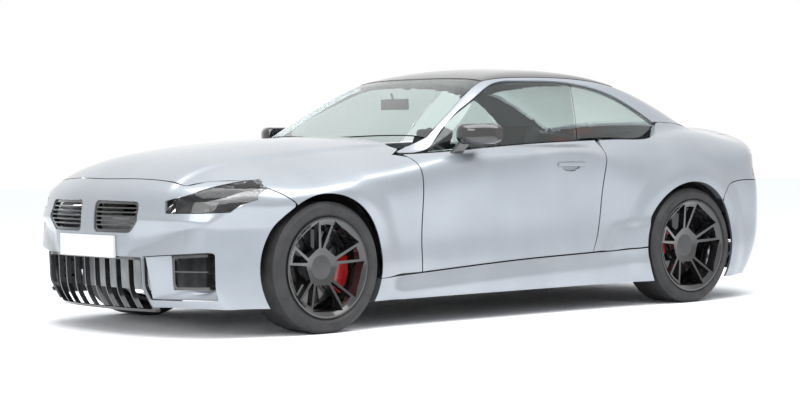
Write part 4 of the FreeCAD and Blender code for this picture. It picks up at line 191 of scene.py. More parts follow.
@dataclass
class BodyForm:
    """The painted body as one smooth form: below zero inside, zero on the skin.

    Each face is a distance past a curved plane: side, top, nose and tail below the windows, and side, roof,
    windscreen and rear screen above them. Their largest value, with rounded corners, is the form.

    Attributes:
        body_round: Rounding between the faces below the windows.
        cabin_round: Rounding between the faces above them.
        join_round: Rounding of the hollow where the cabin meets the body.
        shoulder: Share of the half width at which the top has fallen by the whole drop.
        shoulder_power: Power of the width by which it falls.
        screen_sweep, screen_half, screen_fall: Bow of the windscreen in plan, the share of the half width
            where it is reached, and the sine that turns a run along X into a distance.
        back_sweep, back_fall: The same for the rear window.
        roof_crown, roof_half: Fall of the roof towards its sides, and the share where it is reached.
        flare: Bulge round an arch, its lip and the length over which it fades.
        arches: Radius of the front and the rear arch.
        crease: Rounding of the body's creases.
        ledge: Reach and drop of the sill step, then where it starts and how long it takes, as shares.
        blister: Reach and run of the raised panel, then where it ends and how long it takes, as shares.
        blister_foot, blister_knee, blister_tip: Corners of its outline in the side view, as shares.
        crest: Low end, crest and high end of the stretched side section, as shares of the height.
        dome, dome_ends: Rise, run and edge of the hood's raised middle, and its ends as shares.
        shelf, shelf_span, shelf_base: Reach, hollow and drop under the headlamp, and their shares.
        blade_front, blade_rear, blade_top, blade_round, blade_step: Flat face ahead of the front wheel.
        least_run: Shortest ramp, which keeps a division sound outside the hollow.
        curves: Curves of the form by name.
    """

    body_round: float = 0.024
    cabin_round: float = 0.020
    join_round: float = 0.014
    shoulder: float = 0.827
    shoulder_power: float = 2.5
    screen_sweep: float = 0.062
    screen_half: float = 0.636
    screen_fall: float = 0.48
    back_sweep: float = 0.110
    back_fall: float = 0.4
    roof_crown: float = 0.042
    roof_half: float = 0.615
    flare: tuple[float, float, float] = (0.024, 0.036, 0.130)
    arches: tuple[float, float] = (0.3795, 0.3815)
    crease: float = 0.007
    ledge: tuple[float, float, float, float] = (0.034, 0.076, 0.385, 0.06)
    blister: tuple[float, float, float, float] = (0.026, 0.040, 0.05, 0.07)
    blister_foot: tuple[float, float] = (-0.247, 0.195)
    blister_knee: tuple[float, float] = (-0.301, 0.348)
    blister_tip: tuple[float, float] = (-0.416, 0.367)
    crest: tuple[float, float, float] = (0.235, 0.549, 0.677)
    dome: tuple[float, float, float] = (0.011, 0.034, 0.615)
    dome_ends: tuple[float, float, float, float] = (0.88, 0.14, 0.32, 0.1)
    shelf: tuple[float, float, float] = (0.015, 0.012, 0.040)
    shelf_span: tuple[float, float, float, float] = (0.44, 0.09, 0.84, 0.08)
    shelf_base: tuple[float, float] = (0.312, 0.15)
    blade_front: tuple[float, float] = (0.893, 0.848)
    blade_rear: tuple[float, float] = (0.768, 0.938)
    blade_top: tuple[float, float] = (0.4, 0.07)
    blade_round: float = 0.009
    blade_step: float = 0.050
    least_run: float = 0.001
    curves: dict[str, Curve] = field(default_factory=dict)

    def __post_init__(self) -> None:
        """Set up the curves of the form."""
        long, wide, tall = HALF_LENGTH, HALF_WIDTH, HEIGHT
        self.curves = {
            "top": Curve(((-1.0, 0.757), (-0.935, 0.757), (-0.885, 0.745), (-0.83, 0.748), (-0.72, 0.772),
                          (-0.5, 0.757), (-0.22, 0.741), (0.035, 0.729), (0.262, 0.708), (0.375, 0.710),
                          (0.5, 0.704), (0.626, 0.692), (0.755, 0.669), (0.88, 0.619), (0.929, 0.580),
                          (0.966, 0.545), (1.0, 0.505)), long, tall),
            "drop": Curve(((-1.0, 0.075), (-0.83, 0.068), (-0.72, 0.064), (-0.5, 0.045), (-0.22, 0.038),
                           (0.035, 0.037), (0.262, 0.048), (0.375, 0.078), (0.5, 0.092), (0.626, 0.104),
                           (0.786, 0.095), (0.929, 0.085), (1.0, 0.08)), long, tall),
            "side": Curve(((-1.0, 0.92), (-0.9, 0.955), (-0.76, 0.975), (-0.574, 0.985), (-0.4, 0.972),
                           (-0.22, 0.961), (0.044, 0.961), (0.262, 0.961), (0.39, 0.968), (0.626, 0.985),
                           (0.78, 0.98), (0.9, 0.955), (1.0, 0.92)), long, wide),
            "section": Curve(((0.0, -0.12), (0.107, -0.045), (0.17, -0.037), (0.235, -0.033), (0.32, -0.034),
                              (0.428, -0.019), (0.549, 0.0), (0.613, -0.016), (0.677, -0.088), (0.74, -0.19),
                              (0.82, -0.33)), tall, wide),
            "nose": Curve(((0.0, 0.93), (0.093, 0.966), (0.143, 0.985), (0.235, 0.994), (0.32, 0.996),
                           (0.4, 0.996), (0.49, 0.99), (0.545, 0.975), (0.6, 0.94), (0.7, 0.85)), tall, long),
            "nose_sweep": Curve(((-0.318, 0.005), (0.0, 0.0), (0.318, 0.005), (0.482, 0.021), (0.636, 0.044),
                                 (0.742, 0.066), (0.848, 0.1), (0.933, 0.145), (1.0, 0.21), (1.1, 0.34)),
                                wide, long),
            "tail": Curve(((0.0, 0.91), (0.093, 0.932), (0.143, 0.957), (0.26, 0.99), (0.356, 0.9945),
                           (0.456, 0.9935), (0.513, 0.988), (0.57, 0.977), (0.632, 0.971), (0.686, 0.95),
                           (0.723, 0.937), (0.76, 0.928), (0.82, 0.9)), tall, long),
            "tail_sweep": Curve(((-0.424, 0.009), (0.0, 0.0), (0.424, 0.009), (0.636, 0.034), (0.795, 0.07),
                                 (0.848, 0.092), (0.9, 0.118), (0.975, 0.175), (1.0, 0.22), (1.1, 0.36)),
                                wide, long),
            "cabin": Curve(((-0.79, 0.65), (-0.72, 0.70), (-0.611, 0.763), (-0.492, 0.812), (-0.216, 0.853),
                            (0.035, 0.85), (0.131, 0.84), (0.262, 0.80), (0.4, 0.75)), long, wide),
            "lean": Curve(((0.0, 0.25), (0.4, 0.06), (0.6, -0.005), (0.677, 0.0), (0.713, 0.022),
                           (0.784, 0.083), (0.834, 0.135), (0.891, 0.195), (0.934, 0.243), (0.97, 0.31),
                           (1.0, 0.42)), tall, wide),
            "roof": Curve(((-0.75, 0.80), (-0.59, 0.901), (-0.4585, 0.961), (-0.306, 0.995),
                           (-0.175, 1.0005), (-0.0655, 0.991), (0.022, 0.97), (0.2, 0.915)), long, tall),
            "screen": Curve(((0.6, 0.43), (0.702, 0.318), (0.83, 0.178), (0.95, 0.042), (1.0, -0.02)),
                            tall, long),
            "back": Curve(((0.62, 0.9), (0.712, 0.79), (0.773, 0.723), (0.875, 0.595), (0.9515, 0.468),
                           (1.0, 0.35)), tall, long),
            "sill": Curve(((-0.41, 0.243), (-0.25, 0.233), (0.0, 0.222), (0.38, 0.192), (0.5, 0.184)),
                          long, tall),
            "crest": Curve(((-1.0, 0.549), (-0.72, 0.549), (-0.5, 0.542), (-0.393, 0.54), (-0.31, 0.566),
                            (-0.242, 0.612), (-0.02, 0.616), (0.154, 0.5745), (0.334, 0.538),
                            (0.536, 0.503), (0.617, 0.5225), (0.704, 0.49), (0.782, 0.443), (0.85, 0.395),
                            (0.95, 0.385)), long, tall),
            "shelf_top": Curve(((0.3, 0.43), (0.5, 0.428), (0.785, 0.415), (0.93, 0.412)), wide, tall),
            "shelf_valley": Curve(((0.3, 0.285), (0.48, 0.318), (0.8, 0.405), (0.93, 0.409)), wide, tall),
        }

    def sill_step(self, x: np.ndarray, z: np.ndarray) -> np.ndarray:
        """Step outwards below the doors: its reach times cosine ends times a ramp under a sloping line.

        Args:
            x: Places along the car.
            z: Heights.

        Returns:
            How far the sill step stands out.
        """
        out, drop, start, length = self.ledge
        front = fade(x - start * HALF_LENGTH, length * HALF_LENGTH)
        rear = fade(REAR_AXLE - x, self.arches[1])
        return out * front * rear * ramp(self.curves["sill"](x) - z, drop, self.crease)

    def rear_blister(self, x: np.ndarray, z: np.ndarray) -> np.ndarray:
        """Raise the panel ahead of the rear wheel: a ramp inside two slanting lines.

        Args:
            x: Places along the car.
            z: Heights.

        Returns:
            How far the panel stands out.
        """
        out, width, end, length = self.blister
        outside = []
        for corners in ((self.blister_foot, self.blister_knee), (self.blister_knee, self.blister_tip)):
            start_x, start_z, run, rise = side_edge(*corners)
            outside.append((x - start_x) * rise - (z - start_z) * run)
        inside = -smooth_max(outside, self.crease)
        behind = fade(REAR_AXLE + end * HALF_LENGTH - x, length * HALF_LENGTH)
        return out * behind * ramp(inside, width, self.crease)

    def section_place(self, x: np.ndarray, z: np.ndarray) -> np.ndarray:
        """Find the height at which the side's section is read.

        The section is stretched below and above its crest, so that the crest follows its curve.

        Args:
            x: Places along the car.
            z: Heights.

        Returns:
            Heights on the section.
        """
        low, crest, high = (share * HEIGHT for share in self.crest)
        here = self.curves["crest"](x)
        above = crest + (z - here) * (high - crest) / (high - here)
        below = low + (z - low) * (crest - low) / (here - low)
        return np.where((z >= high) | (z <= low), z, np.where(z > here, above, below))

    def side_reach(self, x: np.ndarray, z: np.ndarray) -> np.ndarray:
        """Find the side's half width: plan plus section, cosine bulges round the arches, step and blister.

        Args:
            x: Places along the car.
            z: Heights.

        Returns:
            Half widths.
        """
        bulge, lip, length = self.flare
        reach = self.curves["side"](x) + self.curves["section"](self.section_place(x, z))
        for hub, arch in zip((FRONT_HUB, REAR_HUB), self.arches):
            reach = reach + bulge * fade(np.hypot(x - hub[0], z - hub[2]) - arch - lip, length)
        proud = smooth_max([self.sill_step(x, z), self.rear_blister(x, z)], self.crease)
        return reach + proud - self.crease * math.log(2)

    def hood_dome(self, x: np.ndarray, y: np.ndarray) -> np.ndarray:
        """Raise the middle of the hood between two long creases: a ramp inwards times cosine ends.

        Args:
            x: Places along the car.
            y: Distances from its middle.

        Returns:
            How far the hood rises.
        """
        rise, width, edge = self.dome
        front, front_length, rear, rear_length = (share * HALF_LENGTH for share in self.dome_ends)
        along = fade(x - front, front_length) * fade(rear - x, rear_length)
        return rise * along * ramp(edge * HALF_WIDTH - y, width, self.crease)

    def nose_relief(self, y: np.ndarray, z: np.ndarray) -> np.ndarray:
        """Form the shelf under the headlamp, the hollow below it and the lip over the side intake.

        The formula is a rise at the shelf's top, less a fall into the hollow and a climb out of it, all
        inside a cosine window across the nose.

        Args:
            y: Distances from the car's middle.
            z: Heights.

        Returns:
            How far the nose stands out.
        """
        out, into, drop = self.shelf
        start, start_length, end, end_length = (share * HALF_WIDTH for share in self.shelf_span)
        window = fade(start - y, start_length) * fade(y - end, end_length)
        top, valley = self.curves["shelf_top"](y), self.curves["shelf_valley"](y)
        base, foot = (share * HEIGHT for share in self.shelf_base)
        depth = np.minimum((top - valley) / drop, 1.0)
        shelf = ramp(top + drop - z, drop, self.crease)
        fall = ramp(top - z, np.maximum(self.crease + (top - valley) / 2, self.least_run), self.crease)
        climb = ramp(valley - z, np.maximum(valley - base + self.crease, self.least_run), self.crease)
        relief = out * shelf - (out + into) * depth * (fall - climb)
        return np.where(window > 0, window * relief * ramp(z - foot, drop, self.crease), 0.0)

    def blade(self, x: np.ndarray, y: np.ndarray, z: np.ndarray) -> np.ndarray:
        """Cut the flat face between the side intake and the front wheel, below a sloping step.

        Args:
            x: Places along the car.
            y: Distances from its middle.
            z: Heights.

        Returns:
            Distances past the face.
        """
        run = (self.blade_front[0] - self.blade_rear[0]) * HALF_LENGTH
        rise = (self.blade_rear[1] - self.blade_front[1]) * HALF_WIDTH
        top, drop = (share * HEIGHT for share in self.blade_top)
        across = (x - self.blade_front[0] * HALF_LENGTH) * rise + (y - self.blade_front[1] * HALF_WIDTH) * run
        return across / math.hypot(run, rise) - self.blade_step * ramp(z - top, drop, self.crease)

    def lower(self, points: np.ndarray) -> np.ndarray:
        """Find the body's value under the windows.

        Args:
            points: Places, with X, Y and Z last.

        Returns:
            The rounded largest distance past its faces.
        """
        x, y, z = points[..., 0], np.abs(points[..., 1]), points[..., 2]
        curves = self.curves
        side = y - self.side_reach(x, z)
        fall = curves["drop"](x) * (y / (self.shoulder * HALF_WIDTH)) ** self.shoulder_power
        top = z - curves["top"](x) - self.hood_dome(x, y) + fall
        nose = x - curves["nose"](z) + curves["nose_sweep"](y) - self.nose_relief(y, z)
        tail = -x - curves["tail"](z) + curves["tail_sweep"](y)
        front = smooth_max([nose, self.blade(x, y, z)], self.blade_round)
        return smooth_max([side, top, front, tail], self.body_round)

    def cabin(self, points: np.ndarray) -> np.ndarray:
        """Find the cabin's value above the belt.

        Args:
            points: Places, with X, Y and Z last.

        Returns:
            The rounded largest distance past its faces.
        """
        x, y, z = points[..., 0], np.abs(points[..., 1]), points[..., 2]
        curves = self.curves
        side = y - curves["cabin"](x) + curves["lean"](z)
        roof = z - curves["roof"](x) + self.roof_crown * (y / (self.roof_half * HALF_WIDTH)) ** 2
        edge = y / (self.screen_half * HALF_WIDTH)
        screen = (x - curves["screen"](z) + self.screen_sweep * edge ** 3) * self.screen_fall
        back = (-x - curves["back"](z) + self.back_sweep * edge ** 2) * self.back_fall
        return smooth_max([side, roof, screen, back], self.cabin_round)

    def value(self, points: np.ndarray, skin: Skin) -> np.ndarray:
        """Find the value of the chosen part of the form.

        Args:
            points: Places, with X, Y and Z last.
            skin: Part of the form.

        Returns:
            Values, below zero inside.
        """
        if skin is Skin.LOWER:
            return self.lower(points)
        if skin is Skin.CABIN:
            return self.cabin(points)
        return -smooth_max([-self.lower(points), -self.cabin(points)], self.join_round)

    def slope(self, points: np.ndarray, skin: Skin, step: float = 0.0005) -> np.ndarray:
        """Find the form's gradient by central differences.

        Args:
            points: Places, one row each.
            skin: Part of the form.
            step: Distance to each side.

        Returns:
            The gradient at each place.
        """
        parts = []
        for axis in range(3):
            shift = np.zeros(3)
            shift[axis] = step
            parts.append((self.value(points + shift, skin) - self.value(points - shift, skin)) / (2 * step))
        return np.stack(parts, axis=-1)

    def settle(self, points: np.ndarray, skin: Skin, passes: int = 5, least: float = 1e-6) -> np.ndarray:
        """Move points along the gradient onto the form's skin, by Newton's steps.

        Args:
            points: Places near the skin, one row each.
            skin: Part of the form.
            passes: Number of steps.
            least: Smallest square of the gradient that a step divides by.

        Returns:
            The moved places.
        """
        placed = points.copy()
        for _ in range(passes):
            slope = self.slope(placed, skin)
            off = self.value(placed, skin)
            placed -= slope * (off / np.maximum((slope ** 2).sum(axis=-1), least))[..., None]
        return placed


FORM = BodyForm()


class Nodes:
    """Short way to build a material's node tree."""

    def __init__(self, name: str) -> None:
        """Start a material with a Principled surface."""
        self.material = bpy.data.materials.new(name)
        self.material.use_nodes = True
        self.tree = self.material.node_tree
        self.surface = self.tree.nodes["Principled BSDF"]
        self.coordinates = self.tree.nodes.new("ShaderNodeTexCoord")

    def add(self, kind: str, **values: object) -> bpy.types.Node:
        """Add a node and set its properties or its sockets.

        Args:
            kind: Blender's node type.
            **values: Property names, or socket names with spaces written as underscores.

        Returns:
            The new node.
        """
        node = self.tree.nodes.new(kind)
        for key, value in values.items():
            if hasattr(node, key):
                setattr(node, key, value)
            else:
                node.inputs[key.replace("_", " ")].default_value = value
        return node

    def link(self, start: bpy.types.NodeSocket, end: bpy.types.NodeSocket) -> None:
        """Join two sockets."""
        self.tree.links.new(start, end)

    def set(self, **values: object) -> None:
        """Set constants on the surface's own sockets."""
        for key, value in values.items():
            self.surface.inputs[key.replace("_", " ")].default_value = value

    def noise(self, scale: float, detail: float) -> bpy.types.Node:
        """Add noise on object coordinates.

        Args:
            scale: Its scale, per metre.
            detail: Number of finer octaves.

        Returns:
            The new node.
        """
        node = self.add("ShaderNodeTexNoise", Scale=scale, Detail=detail)
        self.link(self.coordinates.outputs["Object"], node.inputs["Vector"])
        return node

    def ramp(self, source: bpy.types.NodeSocket, stops: list[tuple[float, Colour]]) -> bpy.types.Node:
        """Add a colour ramp.

        Args:
            source: Socket that feeds it.
            stops: Its places and colours.

        Returns:
            The new node.
        """
        node = self.add("ShaderNodeValToRGB")
        line = node.color_ramp
        while len(line.elements) < len(stops):
            line.elements.new(0.5)
        for element, (place, colour) in zip(line.elements, stops):
            element.position = place
            element.color = (*colour, 1.0)
        self.link(source, node.inputs["Fac"])
        return node

    def bump(self, height: bpy.types.NodeSocket, strength: float, distance: float) -> bpy.types.Node:
        """Bump the surface's normal.

        Args:
            height: Socket that gives the height.
            strength: Share of the bump that is used.
            distance: Height in metres.

        Returns:
            The new node.
        """
        node = self.add("ShaderNodeBump", Strength=strength, Distance=distance)
        self.link(height, node.inputs["Height"])
        self.link(node.outputs["Normal"], self.surface.inputs["Normal"])
        return node

    def vary(self, scale: float, dark: Colour, light: Colour, detail: float = 3.0,
             span: tuple[float, float] = (0.35, 0.65)) -> None:
        """Let the base colour wander between two colours.

        Args:
            scale: Scale of the noise, per metre.
            dark: Darker colour.
            light: Lighter colour.
            detail: Number of finer octaves.
            span: Values of the noise at which the two colours are reached.
        """
        noise = self.noise(scale, detail)
        ramp = self.ramp(noise.outputs["Fac"], [(span[0], dark), (span[1], light)])
        self.link(ramp.outputs["Color"], self.surface.inputs["Base Color"])

    def rough(self, scale: float, low: float, high: float, detail: float = 4.0) -> None:
        """Let the roughness wander between two values.

        Args:
            scale: Scale of the noise, per metre.
            low: Lowest roughness.
            high: Highest roughness.
            detail: Number of finer octaves.
        """
        noise = self.noise(scale, detail)
        spread = self.add("ShaderNodeMapRange")
        spread.inputs["To Min"].default_value = low
        spread.inputs["To Max"].default_value = high
        self.link(noise.outputs["Fac"], spread.inputs["Value"])
        self.link(spread.outputs["Result"], self.surface.inputs["Roughness"])


@dataclass(frozen=True)
class MetallicPaint:
    """Cool grey metallic paint: fine flakes under a clear coat.

    Attributes:
        name: Material name.
        dark, light: The two colours between which it wanders.
        drift: Scale of that noise, per metre.
        metallic: Metal share.
        rough: Lowest and highest roughness of the flakes.
        grain: Scale of the roughness noise, per metre.
        flakes: Scale of the flakes, per metre.
        flake_strength, flake_height: Share and height of their bump.
        coat_rough: Roughness of the clear coat.
    """

    name: str = "metallic_grey_paint"
    dark: Colour = (0.285, 0.312, 0.345)
    light: Colour = (0.315, 0.342, 0.378)
    drift: float = 3.0
    metallic: float = 0.55
    rough: tuple[float, float] = (0.30, 0.42)
    grain: float = 900.0
    flakes: float = 1600.0
    flake_strength: float = 0.05
    flake_height: float = 0.0002
    coat_rough: float = 0.03

    def build(self) -> bpy.types.Material:
        """Make the material."""
        nodes = Nodes(self.name)
        nodes.vary(self.drift, self.dark, self.light, 1.0)
        nodes.rough(self.grain, *self.rough)
        nodes.set(Metallic=self.metallic, Coat_Weight=1.0, Coat_Roughness=self.coat_rough)
        flakes = nodes.add("ShaderNodeTexVoronoi", Scale=self.flakes)
        nodes.link(nodes.coordinates.outputs["Object"], flakes.inputs["Vector"])
        nodes.bump(flakes.outputs["Distance"], self.flake_strength, self.flake_height)
        return nodes.material


@dataclass(frozen=True)
class PlainFinish:
    """Finish with a wandering colour and roughness and a fine bump.

    Attributes:
        name: Material name.
        dark: Darker colour.
        light: Lighter colour.
        rough: Lowest and highest roughness.
        grain: Noise scale of the bump, per metre.
        relief: Height of the bump in metres.
        metallic: Metal share.
        coat: Clear coat share.
        drift: Scale of the colour's noise, per metre.
        smears: Scale of the roughness noise, per metre.
        coat_rough: Roughness of the clear coat.
        bump: Share of the bump that is used.
    """

    name: str
    dark: Colour
    light: Colour
    rough: tuple[float, float]
    grain: float
    relief: float
    metallic: float = 0.0
    coat: float = 0.0
    drift: float = 14.0
    smears: float = 60.0
    coat_rough: float = 0.04
    bump: float = 0.3

    def build(self) -> bpy.types.Material:
        """Make the material."""
        nodes = Nodes(self.name)
        nodes.vary(self.drift, self.dark, self.light)
        nodes.rough(self.smears, *self.rough)
        nodes.set(Metallic=self.metallic, Coat_Weight=self.coat, Coat_Roughness=self.coat_rough)
        nodes.bump(nodes.noise(self.grain, 3.0).outputs["Fac"], self.bump, self.relief)
        return nodes.material


@dataclass(frozen=True)
class TintedGlass:
    """Clear or tinted glass.

    Attributes:
        name: Material name.
        tint: Its colour.
        clear: Share of the light that it lets through.
        rough: Its roughness.
        paler: Factor from the tint to the paler colour that it wanders to.
        drift: Scale of that noise, per metre.
        bend: Index of refraction.
    """

    name: str
    tint: Colour
    clear: float = 1.0
    rough: float = 0.0
    paler: float = 1.04
    drift: float = 2.0
    bend: float = 1.45

    def build(self) -> bpy.types.Material:
        """Make the material."""
        nodes = Nodes(self.name)
        nodes.vary(self.drift, self.tint, tuple(min(1.0, part * self.paler) for part in self.tint), 1.0)
        nodes.set(Transmission_Weight=self.clear, Roughness=self.rough, IOR=self.bend)
        return nodes.material


@dataclass(frozen=True)
class CarbonWeave:
    """Dark twill weave under a clear coat, seen as fine slanting steps.

    Attributes:
        name: Material name.
        pitch: Width of one step.
        slant: Turn of the weave in degrees.
        dark, light: Colours of the two ways of the weave.
        rough, coat_rough: Roughness of the weave and of the coat.
        bump, relief: Share and height of the steps' bump.
    """

    name: str = "carbon_weave"
    pitch: float = 0.004
    slant: float = 45.0
    dark: Colour = (0.018, 0.018, 0.020)
    light: Colour = (0.045, 0.045, 0.048)
    rough: float = 0.35
    coat_rough: float = 0.03
    bump: float = 0.15
    relief: float = 0.0002

    def build(self) -> bpy.types.Material:
        """Make the material."""
        nodes = Nodes(self.name)
        weave = nodes.add("ShaderNodeTexChecker", Scale=1 / self.pitch)
        weave.inputs["Color1"].default_value = (*self.dark, 1)
        weave.inputs["Color2"].default_value = (*self.light, 1)
        turn = nodes.add("ShaderNodeMapping")
        turn.inputs["Rotation"].default_value = (0, 0, math.radians(self.slant))
        nodes.link(nodes.coordinates.outputs["Object"], turn.inputs["Vector"])
        nodes.link(turn.outputs["Vector"], weave.inputs["Vector"])
        nodes.link(weave.outputs["Color"], nodes.surface.inputs["Base Color"])
        nodes.set(Roughness=self.rough, Coat_Weight=1.0, Coat_Roughness=self.coat_rough)
        nodes.bump(weave.outputs["Fac"], self.bump, self.relief)
        return nodes.material


class Finishes:
    """Every finish of the car, built once."""

    def __init__(self) -> None:
        """Build the materials."""
        self.paint = MetallicPaint().build()
        self.carbon = CarbonWeave().build()
        self.screen = TintedGlass("screen_glass", (0.80, 0.88, 0.86)).build()
        self.side_glass = TintedGlass("side_glass", (0.55, 0.62, 0.61)).build()
        self.lens = TintedGlass("lamp_lens", (0.93, 0.95, 0.96)).build()
        self.red_lens = TintedGlass("red_lamp_lens", (0.35, 0.012, 0.012), 0.7, 0.05).build()
        self.gloss = PlainFinish(
            "gloss_black", (0.010, 0.010, 0.011), (0.016, 0.016, 0.017), rough=(0.10, 0.16),
            grain=300.0, relief=0.00005, coat=1.0).build()
        self.wheel = PlainFinish(
            "wheel_black", (0.012, 0.012, 0.013), (0.020, 0.020, 0.022), rough=(0.14, 0.22),
            grain=500.0, relief=0.00005, metallic=0.3, coat=1.0).build()
        self.tyre = PlainFinish(
            "tyre_rubber", (0.016, 0.016, 0.017), (0.028, 0.028, 0.029), rough=(0.55, 0.7),
            grain=900.0, relief=0.0004).build()
        self.plastic = PlainFinish(
            "black_plastic", (0.014, 0.014, 0.015), (0.022, 0.022, 0.023), rough=(0.45, 0.6),
            grain=1500.0, relief=0.0003).build()
        self.cast = PlainFinish(
            "cast_metal", (0.06, 0.06, 0.063), (0.12, 0.12, 0.125), rough=(0.45, 0.65),
            grain=400.0, relief=0.0006, metallic=0.6).build()
        self.alloy = PlainFinish(
            "bare_alloy", (0.34, 0.35, 0.36), (0.44, 0.45, 0.46), rough=(0.3, 0.42),
            grain=300.0, relief=0.0002, metallic=0.9).build()
        self.steel = PlainFinish(
            "polished_steel", (0.45, 0.45, 0.46), (0.55, 0.55, 0.56), rough=(0.12, 0.2),
            grain=200.0, relief=0.0001, metallic=1.0).build()
        self.caliper = PlainFinish(
            "red_caliper", (0.42, 0.006, 0.008), (0.55, 0.012, 0.012), rough=(0.2, 0.3),
            grain=400.0, relief=0.0001, metallic=0.1, coat=0.8).build()
        self.leather = PlainFinish(
            "black_leather", (0.016, 0.016, 0.017), (0.028, 0.027, 0.027), rough=(0.38, 0.5),
            grain=700.0, relief=0.0005).build()
        self.plate = PlainFinish(
            "blank_plate", (0.74, 0.74, 0.73), (0.80, 0.80, 0.79), rough=(0.3, 0.4),
            grain=300.0, relief=0.0001, coat=0.5).build()


def unit(vectors: np.ndarray, least: float = 1e-9) -> np.ndarray:
    """Scale vectors to length one; the least length keeps the division sound."""
    return vectors / (np.linalg.norm(vectors, axis=1)[:, None] + least)


def dress(node: str, material: bpy.types.Material) -> None:
    """Give a CAD node one material in place of its own.

    Args:
        node: CAD node.
        material: Its finish.
    """
    item = frame["nodes"][node]
    item.data.materials.clear()
    item.data.materials.append(material)


def new_object(name: str, mesh: bpy.types.Mesh, material: bpy.types.Material, body: str) -> bpy.types.Object:
    """Put a finished mesh in the scene on a body.

    Args:
        name: Piece name.
        mesh: Mesh with its place in its vertices.
        material: Its finish.
        body: CAD body that carries it.

    Returns:
        The new object.
    """
    item = bpy.data.objects.new(name, mesh)
    bpy.context.scene.collection.objects.link(item)
    mesh.materials.clear()
    mesh.materials.append(material)
    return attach(item, body)


@dataclass
class Panel:
    """A CAD panel whose outer skin is made finer and laid exactly on the body form.

    Attributes:
        node: CAD node that the panel stands for.
        skin: Part of the form that it lies on.
        longest: Longest edge left on the outer face.
        reach: How far a CAD corner may be from the form and still count as its outer face.
        facing: Least cosine between an outer face and the form's gradient.
        merge: Distance at which corners of the loose triangles are one.
        passes: Most rounds of splitting.
    """

    node: str
    skin: Skin
    longest: float = 0.014
    reach: float = 0.009
    facing: float = 0.55
    merge: float = 0.00002
    passes: int = 7

    def outer_faces(self, shape: bmesh.types.BMesh) -> list[bmesh.types.BMFace]:
        """Find the faces whose corners lie near the form and that face along its gradient.

        Args:
            shape: Merged triangles of the node.

        Returns:
            Its outer faces.
        """
        corners = np.array([vert.co for vert in shape.verts])
        near = np.abs(FORM.value(corners, self.skin)) < self.reach
        slope = unit(FORM.slope(corners, self.skin))
        shape.verts.index_update()
        found = []
        for face in shape.faces:
            ids = [vert.index for vert in face.verts]
            if near[ids].all() and np.dot(np.array(face.normal), slope[ids].mean(axis=0)) > self.facing:
                found.append(face)
        return found

    def split(self, shape: bmesh.types.BMesh, layer: bmesh.types.BMLayerItem) -> None:
        """Halve the long edges of the outer faces until none is left.

        Args:
            shape: Merged triangles of the node.
            layer: Face layer that is one on the outer faces.
        """
        for _ in range(self.passes):
            long_edges = {edge for face in shape.faces if face[layer] for edge in face.edges
                          if edge.calc_length() > self.longest}
            if not long_edges:
                break
            bmesh.ops.subdivide_edges(shape, edges=list(long_edges), cuts=1)
            bmesh.ops.triangulate(shape, faces=[face for face in shape.faces if len(face.verts) > 3])

    def build(self, material: bpy.types.Material) -> bpy.types.Object:
        """Refine the node's outer faces, lay them on the form and give them its exact normals.

        Args:
            material: Finish of the panel.

        Returns:
            The panel, which replaces its CAD node.
        """
        source = frame["nodes"][self.node]
        shape = bmesh.new()
        shape.from_mesh(source.data)
        bmesh.ops.remove_doubles(shape, verts=shape.verts, dist=self.merge)
        bmesh.ops.triangulate(shape, faces=shape.faces)
        for face in shape.faces:
            face.tag = False
        for face in self.outer_faces(shape):
            face.tag = True
        layer = shape.faces.layers.int.new("outer")
        for face in shape.faces:
            face[layer] = int(face.tag)
        self.split(shape, layer)
        verts = list({vert for face in shape.faces if face[layer] for vert in face.verts})
        placed = FORM.settle(np.array([vert.co for vert in verts]), self.skin)
        for vert, place in zip(verts, placed):
            vert.co = place
        mesh = bpy.data.meshes.new(self.node + "_skin")
        shape.to_mesh(mesh)
        shape.free()
        self.set_normals(mesh)
        panel = new_object(self.node + "_skin", mesh, material, source["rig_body"])
        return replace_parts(panel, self.node)

    def set_normals(self, mesh: bpy.types.Mesh) -> None:
        """Use the form's gradient as the normal of the outer faces, and each other face's own normal.

        Args:
            mesh: Triangles with an outer mark on each face.
        """
        faces = len(mesh.polygons)
        corners = np.empty(faces * 3, dtype=np.int32)
        mesh.loops.foreach_get("vertex_index", corners)
        places = np.empty(len(mesh.vertices) * 3)
        mesh.vertices.foreach_get("co", places)
        flat = np.empty(faces * 3)
        mesh.polygons.foreach_get("normal", flat)
        normals = np.repeat(flat.reshape(-1, 3), 3, axis=0)
        outer = np.empty(faces, dtype=np.int32)
        mesh.attributes["outer"].data.foreach_get("value", outer)
        slope = unit(FORM.slope(places.reshape(-1, 3), self.skin))
        smooth = np.repeat(outer > 0, 3)
        normals[smooth] = slope[corners[smooth]]
        mesh.polygons.foreach_set("use_smooth", np.ones(faces, dtype=bool))
        mesh.normals_split_custom_set(normals.tolist())


@dataclass
class PaintedBody:
    """All painted panels of the car, and the carbon roof between them.

    Attributes:
        lower: Nodes that lie on the body under the windows.
        whole: Nodes that lie on the body and the cabin.
    """

    lower: tuple[str, ...] = ("door_left", "door_right", "hood", "front_fenders", "front_bumper", "boot_lid",
                              "rear_bumper", "side_sills")
    whole: tuple[str, ...] = ("rear_quarters", "roof_rails")

    def build(self, finishes: Finishes) -> None:
        """Refine each panel and give it its finish.

        Args:
            finishes: The car's materials.
        """
        for node in self.lower:
            Panel(node, Skin.LOWER).build(finishes.paint)
        for node in self.whole:
            Panel(node, Skin.WHOLE).build(finishes.paint)
        Panel("roof_panel", Skin.CABIN).build(finishes.carbon)


@dataclass
class Glazing:
    """Windscreen, rear window and side windows."""

    def build(self, finishes: Finishes) -> None:
        """Give the panes their glass.

        Args:
            finishes: The car's materials.
        """
        for side in SIDES:
            dress("door_glass_" + side, finishes.side_glass)
        dress("fixed_windows", finishes.screen)


